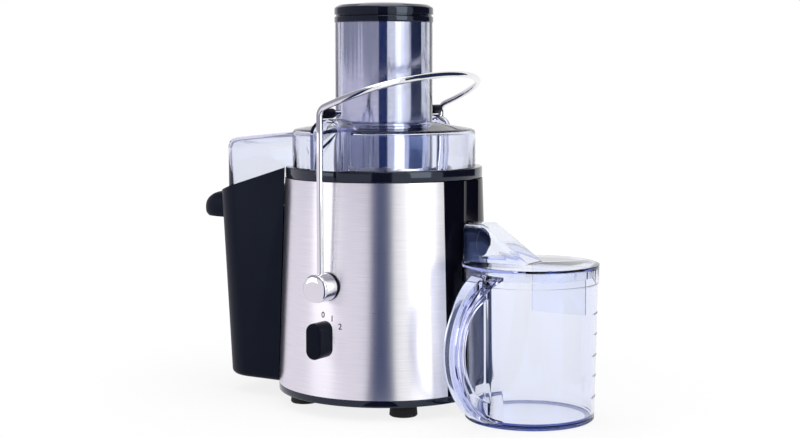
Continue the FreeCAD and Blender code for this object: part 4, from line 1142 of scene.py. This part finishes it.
@dataclass
class MotorHousing:
    """The motor housing with its steel wraps, rings, feet, bowl and printed numbers."""

    steel_foot: Point = (18.5, 101.0)
    steel_head: Point = (214.0, 94.0)
    number_tall: float = 5.4
    font_share: float = 1.4
    bolder: float = 0.11
    letter_steps: int = 6
    print_lift: float = 0.06
    numbers: tuple[tuple[str, float, float], ...] = (
        ("0", -92.3, 93.7),
        ("1", -86.6, 90.9),
        ("2", -81.8, 84.2),
    )

    def build(self) -> None:
        """Dress the housing and print the numbers round the knob."""
        dress_nodes(Finish.PANEL, "housing", "juice_spout")
        dress_nodes(Finish.GLOSS, "juice_bowl")
        dress_nodes(Finish.STEEL, "steel_front", "steel_back")
        rounded_copy("top_ring", "base", Finish.GLOSS, width=1.3)
        rounded_copy("base_plate", "base", Finish.GLOSS, width=1.0)
        dress_nodes(Finish.RUBBER, "rubber_feet", "cord_gland", "shaft_seal")
        dress_nodes(Finish.SCREW, "base_screws")
        for words, turn, height in self.numbers:
            self.print_number(words, turn, height)

    def radius(self, height: float) -> float:
        """The steel's radius at a height, in mm."""
        return slant(height, self.steel_foot, self.steel_head)

    def print_number(self, words: str, turn: float, height: float) -> None:
        """Print one number on the steel.

        Args:
            words: the number.
            turn: its place round the housing, in degrees.
            height: its middle above the table, in mm.
        """
        line = bpy.data.curves.new("number", "FONT")
        line.body, line.size = words, self.number_tall * self.font_share
        line.align_x, line.align_y = "CENTER", "CENTER"
        line.offset = self.bolder
        line.resolution_u = self.letter_steps
        text = new_object("number", line)
        flat = bpy.data.meshes.new_from_object(text.evaluated_get(bpy.context.evaluated_depsgraph_get()))
        bpy.data.objects.remove(text)
        corners = []
        for corner in flat.vertices:
            level = height + corner.co.y
            spin = math.radians(turn) + corner.co.x / self.radius(level)
            out = self.radius(level) + self.print_lift
            corners.append((out * math.cos(spin), out * math.sin(spin), level))
        faces = [tuple(face.vertices) for face in flat.polygons]
        place(shape(f"number_{words}", corners, faces), "base", Finish.PRINT, slot="black_matte")


@dataclass
class MotorDrive:
    """The motor, the drive and the switches inside the housing."""

    def build(self) -> None:
        """Dress the pieces."""
        dress_nodes(Finish.SHAFT, "rotor_shaft", "bearing_low", "bearing_top")
        dress_nodes(Finish.SCREW, "motor_screws")
        dress_nodes(Finish.CAST, "motor_bracket_low", "motor_bracket_top")
        dress_nodes(Finish.COPPER, "motor_coils", "commutator")
        dress_nodes(Finish.LAMINATE, "motor_stator", "armature")
        dress_nodes(Finish.WHITE, "brush_holders", "cooling_fan", "drive_coupling")
        dress_nodes(Finish.RUBBER, "motor_mounts")
        dress_nodes(Finish.SATIN, "interlock_switch", "rotary_switch")


@dataclass
class FilterBasket:
    """The spinning filter basket and its grater."""

    def build(self) -> None:
        """Dress the pieces."""
        dress_nodes(Finish.MESH, "basket_wall", "basket_rim", "grater_disc")


@dataclass
class LockingBail:
    """The locking bail with its caps, pins and rollers."""

    pivot_height: float = joint_place("bail_swing").z / MM
    cap_r: float = 12.9
    cap_in: float = 99.8
    cap_out: float = 119.5
    cap_core: float = 0.05
    cap_ease: float = 0.6
    cap_sides: int = 72
    dome: float = 4.2
    dome_flank: float = 0.5
    dome_crown: float = 0.8

    def build(self) -> None:
        """Make the domed caps and dress the other pieces."""
        dress_nodes(Finish.CHROME, "bail", "roller_pins")
        caps = combine("UNION", self.cap("pivot_caps_domed", -1), self.cap("back_cap", 1))
        place(smooth(caps), "bail", Finish.CHROME, "pivot_caps")
        dress_nodes(Finish.SHAFT, "pivot_pins")
        dress_nodes(Finish.SATIN, "pivot_bushes")
        dress_nodes(Finish.WHITE, "interlock_cam")
        rounded_copy("roller_front", "roller_front", Finish.SATIN, width=1.0)
        rounded_copy("roller_back", "roller_back", Finish.SATIN, width=1.0)

    def cap(self, name: str, side: int) -> bpy.types.Object:
        """One pivot cap: a short drum with a domed end.

        Args:
            name: its name.
            side: -1 for the front and 1 for the back.

        Returns:
            The solid.
        """
        core, ease, inner = self.cap_core, self.cap_ease, self.cap_in
        outline = [(core, inner), (self.cap_r - ease, inner), (self.cap_r, inner + ease)]
        edge, steps = self.cap_out - self.dome, 10
        for step in range(steps + 1):
            turn = math.pi / 2 * step / steps
            bulge = math.sin(turn) ** self.dome_crown
            wide = self.cap_r * math.cos(turn) ** self.dome_flank
            outline.append((max(core, wide), edge + self.dome * bulge))
        rings = []
        for step in range(self.cap_sides):
            turn = 2 * math.pi * step / self.cap_sides
            wide, up = math.cos(turn), math.sin(turn)
            rings.append([(out * wide, side * reach, self.pivot_height + out * up) for out, reach in outline])
        return loft(name, rings, closed=True)


@dataclass
class SpeedKnob:
    """The knob on the front."""

    def build(self) -> None:
        """Round the knob and dress its shaft."""
        knob = rounded_copy("knob", "knob", Finish.SATIN, width=1.2)
        knob.visible_glossy = False
        dress_nodes(Finish.SHAFT, "knob_shaft")


@dataclass
class PulpBin:
    """The pulp bin."""

    lip_root: float = 165.8
    lip_tip: float = 203.6
    lip_half: float = 30.0
    lip_high: float = 195.0
    lip_low: float = 165.4
    lip_wall: float = 3.0
    lip_droop: float = 11.0
    lip_rise: float = 3.5
    lip_waist: float = 0.42
    lip_round: float = 0.42
    lip_narrow: float = 0.95
    lip_steps: int = 16
    least_round: float = 0.05
    tip_share: float = 0.992
    space_thin: float = 2.0
    space_below: float = 12.0
    cut_from: float = 167.4
    cut_past: float = 20.0
    cut_wide: float = 10.0

    def build(self) -> None:
        """Round the bin's edges and give it a drooping finger lip."""
        tub = rounded_copy("pulp_bin", "bin", Finish.BIN, width=1.0)
        combine("DIFFERENCE", tub, self.block())
        lip = combine("DIFFERENCE", self.lip("lip", 0.0), self.lip("finger_space", self.lip_wall))
        combine("UNION", tub, lip)
        dress(smooth(tub, angle=40.0), Finish.BIN)

    def block(self) -> bpy.types.Object:
        """A block round the solid's plain lip, which is cut away.

        Returns:
            The solid.
        """
        low, high = self.lip_low - self.cut_past, self.lip_high + self.cut_wide
        near, far, half = -self.cut_from, -self.lip_tip - self.cut_past, self.lip_half + self.cut_wide
        outline = [(near, -half), (near, half), (far, half), (far, -half)]
        return loft("block", [[(x, y, level) for x, y in outline] for level in (low, high)])

    def lip(self, name: str, inset: float) -> bpy.types.Object:
        """The finger lip's outside, or the finger space under it.

        Args:
            name: its name.
            inset: how far inside the outside it is.

        Returns:
            The solid.
        """
        solid, steps = inset == 0.0, self.lip_steps
        start, stop = self.lip_root + inset, self.lip_tip - inset
        rings = []
        for step in range(steps + 1):
            share = self.tip_share * math.sin(math.pi / 2 * step / steps)
            thin = math.sqrt(1 - share**5)
            top = self.lip_high - self.lip_droop * share**3 - self.space_thin * inset
            low = self.lip_low + self.lip_rise * share**3
            middle = low + self.lip_waist * (top - low)
            top = middle + (top - middle) * thin
            low = middle - (middle - low) * thin if solid else self.lip_low - self.space_below
            half = (self.lip_half - inset) * math.sqrt(1 - (self.lip_narrow * share) ** 4)
            soft = self.lip_round * min(top - low, half)
            base = soft if solid else 0.0
            corners = [(-half, low, base), (half, low, base), (half, top, soft), (-half, top, soft)]
            across = -(start + (stop - start) * share)
            rings.append([(across, side, level) for side, level in self.ring(corners)])
        return loft(name, rings)

    def ring(self, corners: Sequence[Corner]) -> list[Point]:
        """A rounded ring with the same number of points whatever its roundings are."""
        return eased([(across, up, max(radius, self.least_round)) for across, up, radius in corners])


@dataclass
class JuiceJug:
    """The clear jug with its handle, lid, froth plate and measuring marks."""

    centre: Point = (156.0, 0.0)
    handle_turn: float = -102.0
    root: float = 54.2
    bow: float = 108.0
    low: float = 2.4
    high: float = 137.8
    band_wide: float = 20.0
    rib_deep: float = 16.0
    rib_half: float = 3.0
    rim_flare: Point = (17.0, 6.0)
    rim_from: Point = (0.70, 0.78)
    foot_flare: Point = (14.0, 2.0)
    foot_from: Point = (0.22, 0.20)
    foot_curve: float = 1.6
    handle_steps: int = 44
    marks: tuple[float, ...] = (22.0, 41.0, 60.0, 79.0, 98.0)
    mark_long: Point = (6.0, 24.0)
    mark_short: Point = (12.0, 24.0)
    mark_section: tuple[Point, ...] = ((-0.05, -0.4), (0.25, -0.25), (0.25, 0.25), (-0.05, 0.4))
    mark_steps: int = 12
    wall_near: Point = (0.0, 59.0)
    wall_far: Point = (124.0, 60.8)
    outline: tuple[Corner, ...] = (
        (0.0, 1.8, 0.0),
        (57.2, 1.8, 0.6),
        (58.9, 3.0, 0.9),
        (60.8, 124.0, 0.6),
        (62.0, 125.2, 0.6),
        (62.0, 139.0, 0.9),
        (0.0, 139.0, 0.0),
    )
    hollow: tuple[Corner, ...] = (
        (0.0, 3.8, 0.0),
        (54.6, 3.8, 1.6),
        (56.6, 6.2, 1.6),
        (58.4, 124.0, 0.6),
        (59.6, 125.4, 0.6),
        (59.6, 142.0, 0.0),
        (0.0, 142.0, 0.0),
    )
    foot_ring: tuple[Corner, ...] = (
        (50.5, 1.7, 0.3),
        (50.5, 0.6, 0.3),
        (51.4, 0.0, 0.4),
        (57.6, 0.0, 0.5),
        (58.7, 1.1, 0.5),
        (58.7, 1.7, 0.2),
    )

    def build(self) -> None:
        """Make the jug with its handle, its marks, its lid and the froth plate."""
        jug = lathe("jug_clear", eased(self.outline), self.centre)
        combine("UNION", jug, self.handle())
        combine("DIFFERENCE", jug, lathe("hollow", eased(self.hollow), self.centre))
        place(soften(jug, width=0.5, steps=2), "jug", Finish.CLEAR, "jug", "jug_handle")
        # The foot ring's shape is real; its dark blue finish is painted shade.
        ring = lathe("jug_foot_ring", eased(self.foot_ring), self.centre)
        place(smooth(ring), "jug", Finish.PAINTED_SHADE_FOOT, slot="clear")
        rounded_copy("jug_lid", "jug_lid", Finish.CLEAR, width=0.5)
        rounded_copy("froth_plate", "jug_lid", Finish.CLEAR, width=0.4)
        for index, level in enumerate(self.marks):
            self.mark(index, level)

    def handle(self) -> bpy.types.Object:
        """The handle: a broad band with a rib inside, wider at the rim and at the foot.

        Returns:
            The solid.
        """
        middle, half = (self.low + self.high) / 2, (self.high - self.low) / 2
        throw = self.bow - self.root
        arc_r = (throw**2 + half**2) / (2 * throw)
        hub = self.bow - arc_r
        sweep = math.atan2(half, self.root - hub)
        turn = math.radians(self.handle_turn)
        out, side = Vector((math.cos(turn), math.sin(turn), 0)), Vector((-math.sin(turn), math.cos(turn), 0))
        rings = []
        for step in range(self.handle_steps + 1):
            share = step / self.handle_steps
            angle = -sweep + 2 * sweep * share
            wide = self.band_wide + self.rim_flare[0] * ramp(share, self.rim_from[0], 1.0)
            wide += self.foot_flare[0] * ramp(share, self.foot_from[0], 0.0) ** self.foot_curve
            deep = self.rib_deep + self.rim_flare[1] * ramp(share, self.rim_from[1], 1.0)
            deep += self.foot_flare[1] * ramp(share, self.foot_from[1], 0.0)
            ring = []
            for across, depth in self.section(wide, deep):
                reach = hub + (arc_r - depth) * math.cos(angle)
                up = middle + (arc_r - depth) * math.sin(angle)
                spot = out * reach + side * across
                ring.append((self.centre[0] + spot.x, self.centre[1] + spot.y, up))
            rings.append(ring)
        return loft("handle", rings)

    def section(self, wide: float, deep: float) -> list[Point]:
        """The handle's section as across and depth from its outer face.

        Args:
            wide: the band's width.
            deep: the rib's depth.

        Returns:
            The outline's points.
        """
        edge, rib = wide / 2, self.rib_half
        corners = [
            (-edge, 0.8, 1.4),
            (0.0, -0.6, 6.0),
            (edge, 0.8, 1.4),
            (edge, 4.2, 1.4),
            (rib + 0.6, 5.0, 1.2),
            (rib, deep, 1.6),
            (-rib, deep, 1.6),
            (-rib - 0.6, 5.0, 1.2),
            (-edge, 4.2, 1.4),
        ]
        return eased(corners, steps=3)

    def mark(self, index: int, level: float) -> None:
        """One measuring mark: a thin raised line round part of the wall.

        Args:
            index: its number from below.
            level: its height, in mm.
        """
        outer = slant(level, self.wall_near, self.wall_far)
        start, stop = self.mark_long if index % 2 == 0 else self.mark_short
        rings = []
        for step in range(self.mark_steps + 1):
            turn = math.radians(start + (stop - start) * step / self.mark_steps)
            ring = []
            for out, up in self.mark_section:
                reach = outer + out
                spot = (self.centre[0] + reach * math.cos(turn), self.centre[1] + reach * math.sin(turn))
                ring.append((*spot, level + up))
            rings.append(ring)
        # The raised line is real; its opaque bluish grey is painted shade.
        place(loft(f"measure_mark_{index}", rings), "jug", Finish.PAINTED_SHADE_MARK, slot="clear")


def main() -> None:
    """Build the studio and every sub-assembly."""
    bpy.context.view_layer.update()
    Studio().build()
    for assembly in (
        MotorHousing(),
        MotorDrive(),
        FilterBasket(),
        Lid(),
        Pusher(),
        LockingBail(),
        SpeedKnob(),
        PulpBin(),
        JuiceJug(),
    ):
        assembly.build()


if __name__ == "__main__":
    main()
